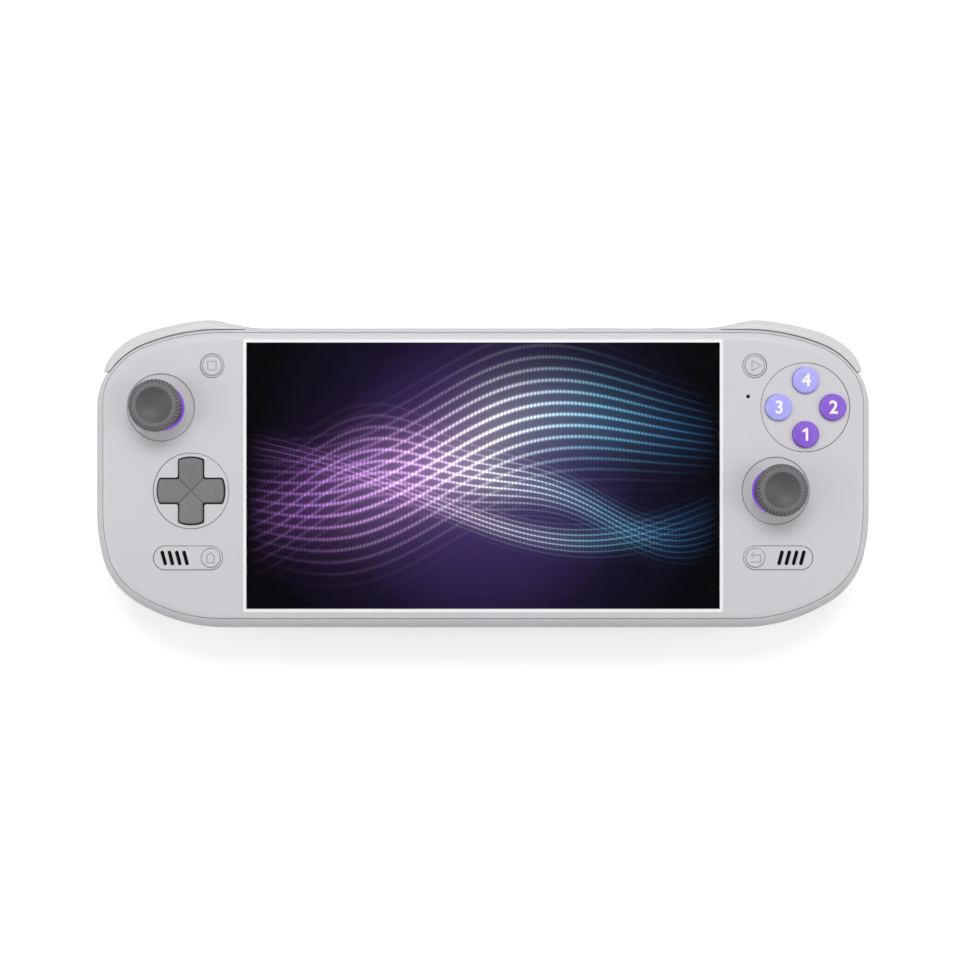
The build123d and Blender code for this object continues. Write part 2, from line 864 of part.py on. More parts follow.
def stick_cap():
    hole_r = stem_r + seat_gap
    inner_r = dome_r - dome_thick
    rim = math.radians(dome_edge_deg)
    rim_z = pivot_z + dome_r * math.cos(rim)
    rim_in = math.sqrt(inner_r ** 2 - (rim_z - pivot_z) ** 2)
    rim_out = dome_r * math.sin(rim)
    half = rim / 2
    top_in = (hole_r, pivot_z + math.sqrt(inner_r ** 2 - hole_r ** 2))
    top_out = (neck_r, pivot_z + math.sqrt(dome_r ** 2 - neck_r ** 2))
    inside = ThreePointArc(top_in, (inner_r * math.sin(half), pivot_z + inner_r * math.cos(half)),
                           (rim_in, rim_z))
    outside = ThreePointArc((rim_out, rim_z), (dome_r * math.sin(half), pivot_z + dome_r * math.cos(half)),
                            top_out)
    shoulder_r = (cap_r + cap_lip_r) / 2
    dish_r = cap_dish_r
    head = Polyline(top_out, (neck_r, cap_under), (cap_lip_r, cap_under), (cap_r, cap_grip_low),
                    (cap_r, cap_grip_high), (shoulder_r, cap_top - cap_dish / 4), (cap_lip_r, cap_top),
                    (dish_r, cap_top))
    dish_z = cap_top - cap_dish
    bowl_r = (dish_r ** 2 + cap_dish ** 2) / (2 * cap_dish)
    dish_mid = (dish_r / 2, dish_z + bowl_r - math.sqrt(bowl_r ** 2 - dish_r ** 2 / 4))
    dish = ThreePointArc((dish_r, cap_top), dish_mid, (0, dish_z))
    core = Polyline((0, dish_z), (0, stem_high + seat_gap), (hole_r, stem_high + seat_gap), top_in)
    return turned([inside, Line((rim_in, rim_z), (rim_out, rim_z)), outside, head, dish, core])


def stick_stem():
    return disc(stem_r, stem_low, stem_high)


def stick_carrier():
    half = carrier_tall / 2
    body = disc(carrier_r, pivot_z - half, pivot_z + half)
    pin_half = gimbal_r - running
    pin = Pos(0, pin_half, pivot_z) * extrude(Plane.XZ * Circle(carrier_pin_r), 2 * pin_half)
    return body + pin - disc(stem_r + running, 0, face_z)


def stick_gimbal():
    half = gimbal_tall / 2
    ring = disc(gimbal_r, pivot_z - half, pivot_z + half)
    ring -= disc(gimbal_r - gimbal_wall, 0, face_z)
    reach = base_bore_r + base_wall
    for side in (-1, 1):
        start = side * (gimbal_r - gimbal_wall / 2)
        pin = extrude(Plane.YZ * Circle(gimbal_pin_r), side * (reach - abs(start)))
        ring += Pos(start, 0, pivot_z) * pin
    bore = Pos(0, gimbal_r + overrun, pivot_z)
    return ring - bore * extrude(Plane.XZ * Circle(carrier_pin_r + running), 2 * (gimbal_r + overrun))


def stick_base():
    half = base_bore_r + base_wall
    body = block((-half, half), (-half, half), (base_low, board_z))
    body = chamfer(body.edges().filter_by(Axis.Z), base_wall)
    body -= disc(base_bore_r, base_low + base_floor, board_z + overrun)
    bore = Pos(-half - overrun, 0, pivot_z) * extrude(Plane.YZ * Circle(gimbal_pin_r + running),
                                                      2 * (half + overrun))
    return body - bore


# Direction pad on its ball

def dpad_cross(half_len, arm_w, low, high):
    cross = Rectangle(2 * half_len, arm_w) + Rectangle(arm_w, 2 * half_len)
    solid = prism(cross & Circle(half_len), low, high)
    uprights = solid.edges().filter_by(Axis.Z)
    inner = [edge for edge in uprights if math.hypot((edge @ 0).X, (edge @ 0).Y) < arm_w]
    solid = fillet(inner, dpad_inner_r)
    uprights = solid.edges().filter_by(Axis.Z)
    far = half_len - dpad_inner_r / 2
    tips = [edge for edge in uprights if math.hypot((edge @ 0).X, (edge @ 0).Y) > far]
    return fillet(tips, dpad_outer_r)


def dpad_level(distance):
    return dpad_top - dpad_hollow * (1 - distance / dpad_half)


def dpad():
    low = dpad_disc_low + dpad_disc_thick / 2
    profile = Polyline((0, low), (dpad_half, low), (dpad_half, dpad_top), (0, dpad_level(0)), close=True)
    slab = extrude(Plane.XZ * make_face([profile]), dpad_half, both=True)
    wedge_face = Polyline((0, 0), (dpad_half, dpad_half), (dpad_half, -dpad_half), close=True)
    arm = slab & prism(make_face([wedge_face]), 0, dpad_top + overrun)
    top = joined([Rot(0, 0, 90 * index) * arm for index in range(4)])
    pad = top & dpad_cross(dpad_half, dpad_arm_w, 0, dpad_top + overrun)
    rims = []
    for edge in pad.edges():
        ends, middle = (edge @ 0, edge @ 1), edge @ 0.5
        high = min(ends[0].Z, ends[1].Z, middle.Z) > dpad_level(0) + dpad_edge / 2
        if high and abs(edge.tangent_at(0.5).Z) < upright_share:
            rims.append(edge)
    pad = chamfer(rims, dpad_edge)
    groove_len = dpad_arm_w
    lean = math.degrees(math.atan(dpad_hollow / (dpad_half * math.sqrt(2))))
    bar = Pos(groove_len / 2, 0, 0) * Rot(45, 0, 0) * Box(groove_len, dpad_groove, dpad_groove)
    bar = Rot(0, -lean, 0) * bar
    mark_z = dpad_level(dpad_mark_r) - dpad_mark_deep
    mark = block((dpad_mark_r - dpad_mark_w / 2, dpad_mark_r + dpad_mark_w / 2),
                 (-dpad_mark_len / 2, dpad_mark_len / 2), (mark_z, dpad_top + overrun))
    for index in range(4):
        pad -= Rot(0, 0, 90 * index) * mark
        pad -= Pos(0, 0, dpad_level(0)) * Rot(0, 0, 45 + 90 * index) * bar
    pad += disc(dpad_disc_r, dpad_disc_low, dpad_disc_low + dpad_disc_thick)
    pad -= Pos(0, 0, ball_z) * Sphere(ball_r + running)
    mouth_r = ball_r + running + free_gap
    return pad - disc(mouth_r, 0, ball_z + ball_cover)


def dpad_ball():
    return Pos(0, 0, ball_z) * Sphere(ball_r)


def dpad_seat():
    seat = disc(dpad_seat_r, board_top, ball_z - ball_cover)
    return seat - Pos(0, 0, ball_z) * Sphere(ball_r + running)


def dpad_bezel():
    plate = disc(dpad_ring_r, cover_low, face_z) + disc(dpad_ring_r + flange_reach, cover_low - flange_thick,
                                                      cover_low)
    plate -= disc(dpad_disc_r + free_gap, 0, dpad_bezel_low)
    rim = plate.faces().sort_by(Axis.Z)[-1].edges()
    plate = chamfer(rim, bezel_edge)
    return plate - dpad_cross(dpad_half + dpad_gap, dpad_arm_w + 2 * dpad_gap, 0, face_z + overrun)


def dpad_mat():
    arm = dpad_half - mat_dome_r / 2
    cross = Rectangle(2 * arm, mat_w) + Rectangle(mat_w, 2 * arm)
    mat = prism(cross & Circle(arm), board_top, board_top + mat_thick)
    mat -= disc(dpad_seat_r + free_gap, 0, face_z)
    for index in range(4):
        place = Rot(0, 0, 90 * index) * Pos(dpad_half - 2 * mat_dome_r, 0, 0)
        mat += place * disc(mat_dome_r, board_top, board_top + mat_thick + mat_dome)
    return mat


# Face buttons

def face_places():
    return {
        "top": (0, face_pitch), "right": (face_pitch, 0),
        "bottom": (0, -face_pitch), "left": (-face_pitch, 0),
    }


def face_button():
    flange_top = plate_low - sliding
    shoulder = (face_r - face_crown, face_top - face_crown / 3)
    top = turned_points([(0, flange_top), (face_r, flange_top), (face_r, face_top - face_crown), shoulder,
                         (face_r / 2, face_top), (0, face_top)])
    return top + disc(face_r + face_flange, flange_top - face_flange_thick, flange_top)


def face_plate():
    plate = disc(plate_r, plate_low, face_z)
    plate = chamfer(plate.faces().sort_by(Axis.Z)[-1].edges(), bezel_edge)
    plate += disc(plate_r + flange_reach, cover_low - flange_thick, cover_low)
    plate -= disc(face_pitch + face_r + face_flange + free_gap, 0, plate_low)
    for place in face_places().values():
        plate -= disc(face_r + sliding, 0, face_z + overrun, place)
    return plate


def face_mat():
    sheet = Circle(plate_r - flange_reach - wall)
    mat = prism(sheet, board_top, board_top + mat_thick)
    for place in face_places().values():
        mat += disc(mat_dome_r, board_top, board_top + mat_thick + mat_dome, place)
    return mat


# Small buttons and their collars

def small_flange_top():
    return cover_low - flange_thick - sliding


def small_button(radius):
    flange_top = small_flange_top()
    body = disc(radius, flange_top, small_top)
    body = chamfer(body.faces().sort_by(Axis.Z)[-1].edges(), small_edge)
    return body + disc(radius + small_flange, flange_top - small_flange_thick, flange_top)


def collar():
    ring = disc(collar_r, cover_low, face_z)
    ring = chamfer(ring.faces().sort_by(Axis.Z)[-1].edges(), bezel_edge)
    ring += disc(collar_r + collar_flange, cover_low - flange_thick, cover_low)
    return ring - disc(small_r + small_gap, 0, face_z + overrun)


def speaker_grille(side):
    grille = prism(pill(pill_len, pill_w), cover_low, face_z)
    grille = chamfer(grille.faces().sort_by(Axis.Z)[-1].edges(), bezel_edge)
    grille += prism(pill(pill_len + 2 * collar_flange, pill_w + 2 * collar_flange), cover_low - flange_thick,
                    cover_low)
    key = pill_key(side)
    centre = pill_spot(side)
    grille -= disc(pill_small_r + small_gap, 0, face_z + overrun, (key[0] - centre[0], 0))
    grille -= snout(side, sliding, 0, face_z - grille_skin)
    for index in range(slot_count):
        x = slot_place(side, index)[0] - centre[0]
        slot = SlotOverall(slot_tall, slot_w, rotation=90 - side * slot_tilt_deg)
        grille -= Pos(x, 0, 0) * prism(slot, 0, face_z + overrun)
    return Pos(centre[0], centre[1], 0) * grille


# The speaker's foam snout fills the back of the grille, so that the slots end on black

def snout(side, grow, low, high):
    middle = side * (slot_first + (slot_count - 1) / 2 * slot_pitch)
    length = (slot_count - 1) * slot_pitch + 2 * snout_end
    return Pos(middle, 0, 0) * prism(Rectangle(length + 2 * grow, snout_w + 2 * grow), low, high)


def speaker(side):
    centre = pill_spot(side)
    start = centre[0] - side * (pill_small_r - slot_first - slot_w)
    top = cover_low - flange_thick
    body = block((start, start + side * speaker_len),
                 (centre[1] - speaker_w / 2, centre[1] + speaker_w / 2), (top - speaker_deep, top))
    body = chamfer(body.edges().filter_by(Axis.Z), speaker_edge)
    x = start + side * speaker_len / 2
    cone = Pos(x, centre[1], top) * extrude(SlotOverall(speaker_len - 4 * speaker_edge,
                                                        speaker_w - 3 * speaker_edge), -speaker_edge)
    foam = moved_to(snout(side, 0, top - speaker_edge, face_z - grille_skin - running), centre)
    return body - cone + foam


# Boards

def button_board(side):
    zone_x = (side * (screen_w / 2 + trim_w + bracket_over), side * half_w)
    y_low = pill_spot(side)[1] + speaker_w / 2 + free_gap
    region = block(zone_x, (y_low, small_y + switch_w), (board_z, board_top))
    key = pill_key(side)
    tongue = block((key[0] - side * switch_w, key[0] + side * switch_w), (key[1] - switch_w, y_low + wall),
                   (board_z, board_top))
    board = (region + tongue) & prism(cover_outline(-2 * ledge_reach), 0, face_z)
    stick = left_stick if side < 0 else right_stick
    board -= disc(base_bore_r, 0, face_z, stick)
    for place in screw_spots():
        board -= disc(boss_r + free_gap, 0, face_z, place)
    half = switch_w / 2
    switch_top = small_flange_top() - small_flange_thick - small_travel - running
    for x, y in (select_spot if side < 0 else start_spot, key):
        board += block((x - half, x + half), (y - half, y + half), (board_z + board_thick / 2, switch_top))
    return board


def mainboard():
    high = screen_h / 2
    board = block((-main_half_w, main_half_w), (main_low_share * high, high), (main_z, main_top))
    board += block((-chip_w / 2, chip_w / 2), (fan_y - chip_w / 2, fan_y + chip_w / 2),
                   (main_z - chip_tall, main_top))
    for index in (1, 2):
        x = index * (memory_w + memory_gap)
        board += block((x, x + memory_w), (fan_y - memory_w / 2, fan_y + memory_w / 2),
                       (main_z, main_top + chip_tall))
    back = key_flange_face() - 2 * key_flange_thick
    level = (main_z + board_thick / 2, key_z + key_w / 4)
    half = key_switch_w / 2
    for x in (*volume_nubs(), power_x):
        board += block((x - half, x + half), (high - key_switch_w, back - key_travel - running), level)
    rest_half = 2 * key_flange_thick
    rest = (volume_x - rest_half, volume_x + rest_half)
    return board + block(rest, (high - key_switch_w, back - running), level)


def port_board():
    inner = low_y - wall - sliding
    top = port_board_top()
    return block((-port_board_half, port_board_half), (-inner + free_gap, -inner + port_board_deep),
                 (top - board_thick, top))


def port_board_top():
    return port_z - jack_w / 2 + free_gap


# Ports

def usb_port():
    mouth = -low_y + port_flush
    shell = on_edge(SlotOverall(usb_w, usb_h), 0, port_z, mouth, usb_deep)
    hollow = SlotOverall(usb_w - 2 * usb_wall, usb_h - 2 * usb_wall)
    inside = on_edge(hollow, 0, port_z, mouth - overrun, usb_deep + overrun - 2 * usb_wall)
    tongue = on_edge(Rectangle(usb_tongue_w, usb_tongue), 0, port_z, mouth + 3 * usb_wall,
                     usb_deep - 3 * usb_wall)
    foot = block((-usb_w / 2, usb_w / 2), (mouth + usb_deep / 2, mouth + usb_deep),
                 (port_board_top(), port_z - usb_h / 4))
    return shell + foot - inside + tongue


def headphone_jack():
    mouth = -low_y + port_flush
    nose = on_edge(Circle(jack_nose_r), jack_x, port_z, mouth, wall + sliding)
    start = -low_y + wall + sliding
    half = jack_w / 2
    body = block((jack_x - half, jack_x + half), (start, mouth + jack_deep + jack_back),
                 (port_board_top(), port_z + half - free_gap))
    return nose + body - on_edge(Circle(jack_r), jack_x, port_z, mouth - overrun, jack_deep + overrun)


def card_reader():
    start = -low_y + wall + sliding
    half = card_w / 2
    high = card_z + card_slot / 2 + card_shell
    body = block((card_x - half, card_x + half), (start, start + card_deep), (port_board_top(), high))
    slot = Rectangle(card_slot_w, card_slot)
    return body - on_edge(slot, card_x, card_z, start - overrun, card_deep + overrun - wall)


# Keys on the top edge

def key_flange_face():
    return top_y - wall - key_back_gap


def volume_nubs():
    reach = volume_len / 2 - key_switch_w
    return (volume_x - reach, volume_x + reach)


# The rocker turns on a round rib at the middle of its flange

def volume_rib():
    rib = disc(key_flange_thick, key_z - key_w / 2, key_z + key_w / 2)
    return moved_to(rib, (volume_x, key_flange_face() - key_flange_thick))


def edge_key(x, length, nubs):
    tip = top_y + key_proud
    flange_face = key_flange_face()
    key = on_edge(SlotOverall(length, key_w), x, key_z, flange_face, tip - flange_face)
    key = chamfer(key.faces().sort_by(Axis.Y)[-1].edges(), key_proud / 2)
    flange = Rectangle(length + 2 * key_flange, key_w + 2 * key_flange)
    key += on_edge(flange, x, key_z, flange_face - key_flange_thick, key_flange_thick)
    for place in nubs:
        nub = Circle(key_w / 4)
        key += on_edge(nub, place, key_z, flange_face - 2 * key_flange_thick, key_flange_thick)
    return key


# Battery, cooling and motors

def battery():
    body = block((-battery_w / 2, battery_w / 2), (battery_high - battery_h, battery_high),
                 (floor_z, floor_z + battery_thick))
    return chamfer(body.edges().filter_by(Axis.Z), battery_edge)


def fan_housing():
    outer = Circle(fan_r) + Pos(0, (fan_r + wall) / 2) * Rectangle(2 * fan_r, fan_r + wall)
    inner = Circle(fan_r - fan_skin) + Pos(0, fan_r) * Rectangle(2 * (fan_r - fan_skin), 2 * fan_r)
    body = prism(outer, fan_low, fan_high) - prism(inner, fan_low + fan_skin, fan_high - fan_skin)
    body -= disc(fan_eye_r, fan_low - overrun, fan_low + 2 * fan_skin)
    body += disc(shaft_r, fan_low + fan_skin, fan_high)
    return Pos(fan_x, fan_y, 0) * body


def fan_rotor():
    low = fan_low + fan_skin + free_gap
    high = fan_high - fan_skin - free_gap
    hub = disc(rotor_hub_r, low, high)
    blades = []
    length = rotor_r - rotor_hub_r + blade_thick
    for index in range(blade_count):
        blade = block((0, length), (-blade_thick / 2, blade_thick / 2), (low, high))
        place = Rot(0, 0, 360 * index / blade_count) * Pos(rotor_hub_r - blade_thick, 0, 0)
        blades.append(place * Rot(0, 0, blade_lean_deg) * blade)
    rotor = hub + joined(blades) - disc(shaft_r + running, 0, face_z)
    return Pos(fan_x, fan_y, 0) * rotor


def heat_sink():
    fins_y = fan_y + fan_r + wall + free_gap
    half = (fin_count - 1) / 2 * fin_pitch
    pad_low = main_z - chip_tall - pipe_thick
    level = (pad_low, main_z - chip_tall)
    plate = block((-chip_w / 2, chip_w / 2), (fan_y - chip_w / 2, fins_y + pipe_w), level)
    pipe = block((fan_x - half, chip_w / 2), (fins_y, fins_y + pipe_w), level)
    fins = []
    for index in range(fin_count):
        x = fan_x + index * fin_pitch - half
        fins.append(block((x - fin_thick / 2, x + fin_thick / 2), (fins_y, fins_y + fin_deep),
                          (floor_z + free_gap, pad_low + pipe_thick / 2)))
    return plate + pipe + joined(fins)


def motor(side):
    place = (side * (screen_w / 2 + motor_share[0] * side_w), motor_share[1] * screen_h / 2)
    return disc(motor_r, wall, wall + motor_thick, place)


# Screws

def housing_screws():
    screws = []
    for place in screw_spots():
        points = [(0, screw_seat - screw_head), (screw_head_r, screw_seat - screw_head),
                  (screw_head_r, screw_seat), (screw_r, screw_seat), (screw_r, screw_end), (0, screw_end)]
        screws.append(turned_points(points, place))
    return screws


def board_screws():
    screws = []
    for side in (-1, 1):
        for place in post_spots(side):
            screws.append(disc(screw_head_r, board_z - screw_head, board_z, place))
    return screws


def all_parts():
    parts = {"front_cover": front_cover(), "rear_cover": rear_cover()}
    parts.update(screen_parts())
    bezel, ring, cap, stem = stick_bezel(), light_ring(), stick_cap(), stick_stem()
    for name, place in (("left", left_stick), ("right", right_stick)):
        parts[name + "_stick_bezel"] = moved_to(bezel, place)
        parts[name + "_stick_base"] = moved_to(stick_base(), place)
        parts[name + "_stick_gimbal"] = moved_to(stick_gimbal(), place)
        parts[name + "_stick_carrier"] = moved_to(stick_carrier(), place)
        parts[name + "_stick_stem"] = moved_to(stem, place)
        parts[name + "_stick_cap"] = moved_to(cap, place)
    parts["stick_light_rings"] = [moved_to(ring, place) for place in (left_stick, right_stick)]
    parts["dpad_bezel"] = moved_to(dpad_bezel(), dpad_spot)
    parts["dpad_seat"] = moved_to(dpad_seat(), dpad_spot)
    parts["dpad_ball"] = moved_to(dpad_ball(), dpad_spot)
    parts["dpad"] = moved_to(dpad(), dpad_spot)
    parts["dpad_mat"] = moved_to(dpad_mat(), dpad_spot)
    parts["face_button_plate"] = moved_to(face_plate(), face_spot)
    parts["face_button_mat"] = moved_to(face_mat(), face_spot)
    for name, place in face_places().items():
        parts["face_button_" + name] = moved_to(moved_to(face_button(), place), face_spot)
    parts["small_button_collars"] = [moved_to(collar(), place) for place in (select_spot, start_spot)]
    parts["select_button"] = moved_to(small_button(small_r), select_spot)
    parts["start_button"] = moved_to(small_button(small_r), start_spot)
    parts["home_button"] = moved_to(small_button(pill_small_r), pill_key(-1))
    parts["back_button"] = moved_to(small_button(pill_small_r), pill_key(1))
    for name, side in (("left", -1), ("right", 1)):
        parts[name + "_speaker_grille"] = speaker_grille(side)
        parts[name + "_button_board"] = button_board(side)
    parts["speakers"] = [speaker(-1), speaker(1)]
    parts["right_bumper"] = bumper_right()
    parts["left_bumper"] = other_side(parts["right_bumper"])
    parts["right_trigger"] = trigger_right()
    parts["left_trigger"] = other_side(parts["right_trigger"])
    pin, spring = trigger_pin_right(), trigger_spring_right()
    parts["trigger_pins"] = [pin, other_side(pin)]
    parts["trigger_springs"] = [spring, other_side(spring)]
    parts["mainboard"] = mainboard()
    parts["port_board"] = port_board()
    parts["usb_port"] = usb_port()
    parts["headphone_jack"] = headphone_jack()
    parts["card_reader"] = card_reader()
    parts["volume_rocker"] = edge_key(volume_x, volume_len, volume_nubs()) + volume_rib()
    parts["power_button"] = edge_key(power_x, power_len, (power_x,))
    parts["battery"] = battery()
    parts["fan_housing"] = fan_housing()
    parts["fan_rotor"] = fan_rotor()
    parts["heat_sink"] = heat_sink()
    parts["vibration_motors"] = [motor(-1), motor(1)]
    parts["housing_screws"] = housing_screws()
    parts["board_screws"] = board_screws()
    return parts


# Every piece is moved so that the origin is under the middle of the console's footprint
os.makedirs("parts", exist_ok=True)
for name, solid in all_parts().items():
    pieces = solid if isinstance(solid, list) else [solid]
    placed = [Pos(0, frame_shift, 0) * piece for piece in pieces]
    export_step(placed[0] if len(placed) == 1 else Compound(placed), "parts/" + name + ".step")
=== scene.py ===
import json
import math

import bpy
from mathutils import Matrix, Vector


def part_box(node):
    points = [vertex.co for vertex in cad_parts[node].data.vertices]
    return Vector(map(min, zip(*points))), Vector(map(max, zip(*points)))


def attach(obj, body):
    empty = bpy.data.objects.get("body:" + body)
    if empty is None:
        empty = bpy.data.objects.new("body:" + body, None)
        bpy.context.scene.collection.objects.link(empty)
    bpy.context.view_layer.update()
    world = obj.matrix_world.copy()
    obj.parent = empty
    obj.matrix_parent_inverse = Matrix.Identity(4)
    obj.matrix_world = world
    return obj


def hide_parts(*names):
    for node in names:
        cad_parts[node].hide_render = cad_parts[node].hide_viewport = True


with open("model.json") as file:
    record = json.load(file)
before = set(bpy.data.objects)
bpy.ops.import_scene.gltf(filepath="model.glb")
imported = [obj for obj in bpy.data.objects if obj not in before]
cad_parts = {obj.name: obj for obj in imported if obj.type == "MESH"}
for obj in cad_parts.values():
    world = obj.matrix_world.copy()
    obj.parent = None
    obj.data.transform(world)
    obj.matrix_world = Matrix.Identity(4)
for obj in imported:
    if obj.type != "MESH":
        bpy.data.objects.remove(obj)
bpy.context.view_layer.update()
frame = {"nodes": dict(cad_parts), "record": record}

mm = 0.001  # Blender's unit is the metre


# Every colour is the sRGB value that the finish should read as under white light
def colour(code):
    parts = [int(code[start:start + 2], 16) / 255 for start in (0, 2, 4)]
    return [part / 12.92 if part <= 0.04045 else ((part + 0.055) / 1.055) ** 2.4 for part in parts] + [1]


def addNode(tree, kind, settings=None, links=None):
    node = tree.nodes.new(kind)
    for key, value in (settings or {}).items():
        if isinstance(key, str) and hasattr(node, key):
            setattr(node, key, value)
        else:
            node.inputs[key].default_value = value
    for key, source in (links or {}).items():
        tree.links.new(source, node.inputs[key])
    return node


def newMaterial(name):
    material = bpy.data.materials.new(name)
    material.use_nodes = True
    material.node_tree.nodes.clear()
    return material


def closeMaterial(material, shader):
    addNode(material.node_tree, "ShaderNodeOutputMaterial", {}, {"Surface": shader.outputs[0]})
    return material


# Moulded, rubbed and rolled surfaces: a fine grain in the relief, and patches that shift tone and gloss

grained = {"grainDetail": 3.0, "grainRoughness": 0.6, "patchDetail": 4.0, "lowPatch": 0.3, "highPatch": 0.7,
           "scatter": 1.0, "coatRoughness": 0.15, "ior": 1.5}


def grainedFinish(name, look):
    material = newMaterial(name)
    tree = material.node_tree
    place = addNode(tree, "ShaderNodeTexCoord").outputs["Object"]
    stretch = look.get("stretch", (1, 1, 1))
    place = addNode(tree, "ShaderNodeMapping", {"Scale": stretch}, {"Vector": place}).outputs[0]
    grain = addNode(tree, "ShaderNodeTexNoise",
                    {"Scale": 1 / (look["grain"] * mm), "Detail": grained["grainDetail"],
                     "Roughness": grained["grainRoughness"]}, {"Vector": place})
    patches = addNode(tree, "ShaderNodeTexNoise",
                      {"Scale": 1 / (look["patch"] * mm), "Detail": grained["patchDetail"]},
                      {"Vector": place})
    deep = [part * (1 - look["tone"]) for part in colour(look["colour"])[:3]] + [1]
    tint = addNode(tree, "ShaderNodeValToRGB", {}, {"Fac": patches.outputs[0]})
    tint.color_ramp.elements[0].position = grained["lowPatch"]
    tint.color_ramp.elements[0].color = deep
    tint.color_ramp.elements[1].position = grained["highPatch"]
    tint.color_ramp.elements[1].color = colour(look["colour"])
    rough = addNode(tree, "ShaderNodeMapRange",
                    {"From Min": grained["lowPatch"], "From Max": grained["highPatch"],
                     "To Min": look["rough"] - look["spread"], "To Max": look["rough"] + look["spread"]},
                    {"Value": patches.outputs[0]})
    bump = addNode(tree, "ShaderNodeBump", {"Strength": 1.0, "Distance": look["depth"] * mm},
                   {"Height": grain.outputs[0]})
    shader = addNode(tree, "ShaderNodeBsdfPrincipled",
                     {"Metallic": look.get("metal", 0.0), "IOR": look.get("ior", grained["ior"]),
                      "Subsurface Weight": look.get("inside", 0.0),
                      "Subsurface Scale": grained["scatter"] * mm,
                      "Coat Weight": look.get("coat", 0.0), "Coat Roughness": grained["coatRoughness"]},
                     {"Base Color": tint.outputs[0], "Roughness": rough.outputs[0],
                      "Normal": bump.outputs[0]})
    return closeMaterial(material, shader)


# The lit picture: broad ribbons drawn as bundles of beaded lines over a dark violet glow. It is laid out in
# half widths and half heights of the panel, from its middle

picture = {
    "ribbons": (
        {"swing": 0.34, "waves": 2.1, "start": 0.4, "lift": 0.12, "width": 0.26, "lines": 14.0, "light": 1.5},
        {"swing": 0.26, "waves": 3.0, "start": 2.3, "lift": -0.16, "width": 0.2, "lines": 11.0, "light": 1.2},
        {"swing": 0.44, "waves": 1.5, "start": 4.1, "lift": 0.02, "width": 0.14, "lines": 8.0, "light": 0.9},
    ),
    "rippleWaves": 2.3,
    "rippleTall": 0.07,
    "spreadWaves": 0.8,
    "spreadSwing": 0.5,
    "spreadMiddle": 1.15,
    "falloff": 1.6,
    "sharpness": 12.0,
    "haze": 0.1,
    "beads": 200.0,
    "beadLow": 0.25,
    "sidePower": 1.4,
    "glowTall": 0.55,
    "glow": (("443069", 0.0), ("37285A", 0.3), ("160F26", 0.66), ("030205", 1.0)),
    "tints": (("C98AF0", 0.12), ("F0BFF8", 0.36), ("FFFFFF", 0.52), ("8AD6F6", 0.74), ("4E9BE0", 0.92)),
    "unlit": "030304",
    "rough": 0.6,
}


# Each step names its result, the operation of its Math node, and its inputs: numbers or earlier results
def pictureSteps():
    steps = [
        ("along", "MULTIPLY", "across", picture["beads"]),
        ("row", "COSINE", "along"),
        ("bead", "ABSOLUTE", "row"),
        ("beads", "MULTIPLY_ADD", "bead", 1 - picture["beadLow"], picture["beadLow"]),
        ("total", "MULTIPLY", "across", 0.0),  # the sum of the light starts at nothing
    ]
    for ribbon in picture["ribbons"]:
        steps += [
            ("phase", "MULTIPLY_ADD", "across", ribbon["waves"], ribbon["start"]),
            ("wave", "SINE", "phase"),
            ("swing", "MULTIPLY_ADD", "wave", ribbon["swing"], ribbon["lift"]),
            ("ripplePhase", "MULTIPLY", "phase", picture["rippleWaves"]),
            ("ripple", "SINE", "ripplePhase"),
            ("middle", "MULTIPLY_ADD", "ripple", picture["rippleTall"], "swing"),
            ("spreadPhase", "MULTIPLY", "phase", picture["spreadWaves"]),
            ("spreadWave", "COSINE", "spreadPhase"),
            ("spread", "MULTIPLY_ADD", "spreadWave", picture["spreadSwing"], picture["spreadMiddle"]),
            ("width", "MULTIPLY", "spread", ribbon["width"]),
            ("above", "SUBTRACT", "up", "middle"),
            ("offset", "DIVIDE", "above", "width"),
            ("square", "MULTIPLY", "offset", "offset"),
            ("fall", "MULTIPLY", "square", -picture["falloff"]),
            ("bell", "EXPONENT", "fall"),
            ("combPhase", "MULTIPLY", "offset", ribbon["lines"]),
            ("comb", "COSINE", "combPhase"),
            ("teeth", "ABSOLUTE", "comb"),
            ("lines", "POWER", "teeth", picture["sharpness"]),
            ("threads", "MULTIPLY_ADD", "lines", "beads", picture["haze"]),
            ("shaped", "MULTIPLY", "bell", "threads"),
            ("light", "MULTIPLY", "shaped", ribbon["light"]),
            ("total", "ADD", "total", "light"),
        ]
    return steps + [
        ("edge", "ABSOLUTE", "across"),
        ("side", "POWER", "edge", picture["sidePower"]),
        ("fade", "SUBTRACT", 1.0, "side"),
        ("total", "MULTIPLY", "total", "fade"),
        ("tint", "MULTIPLY_ADD", "across", 0.5, 0.5),
    ]


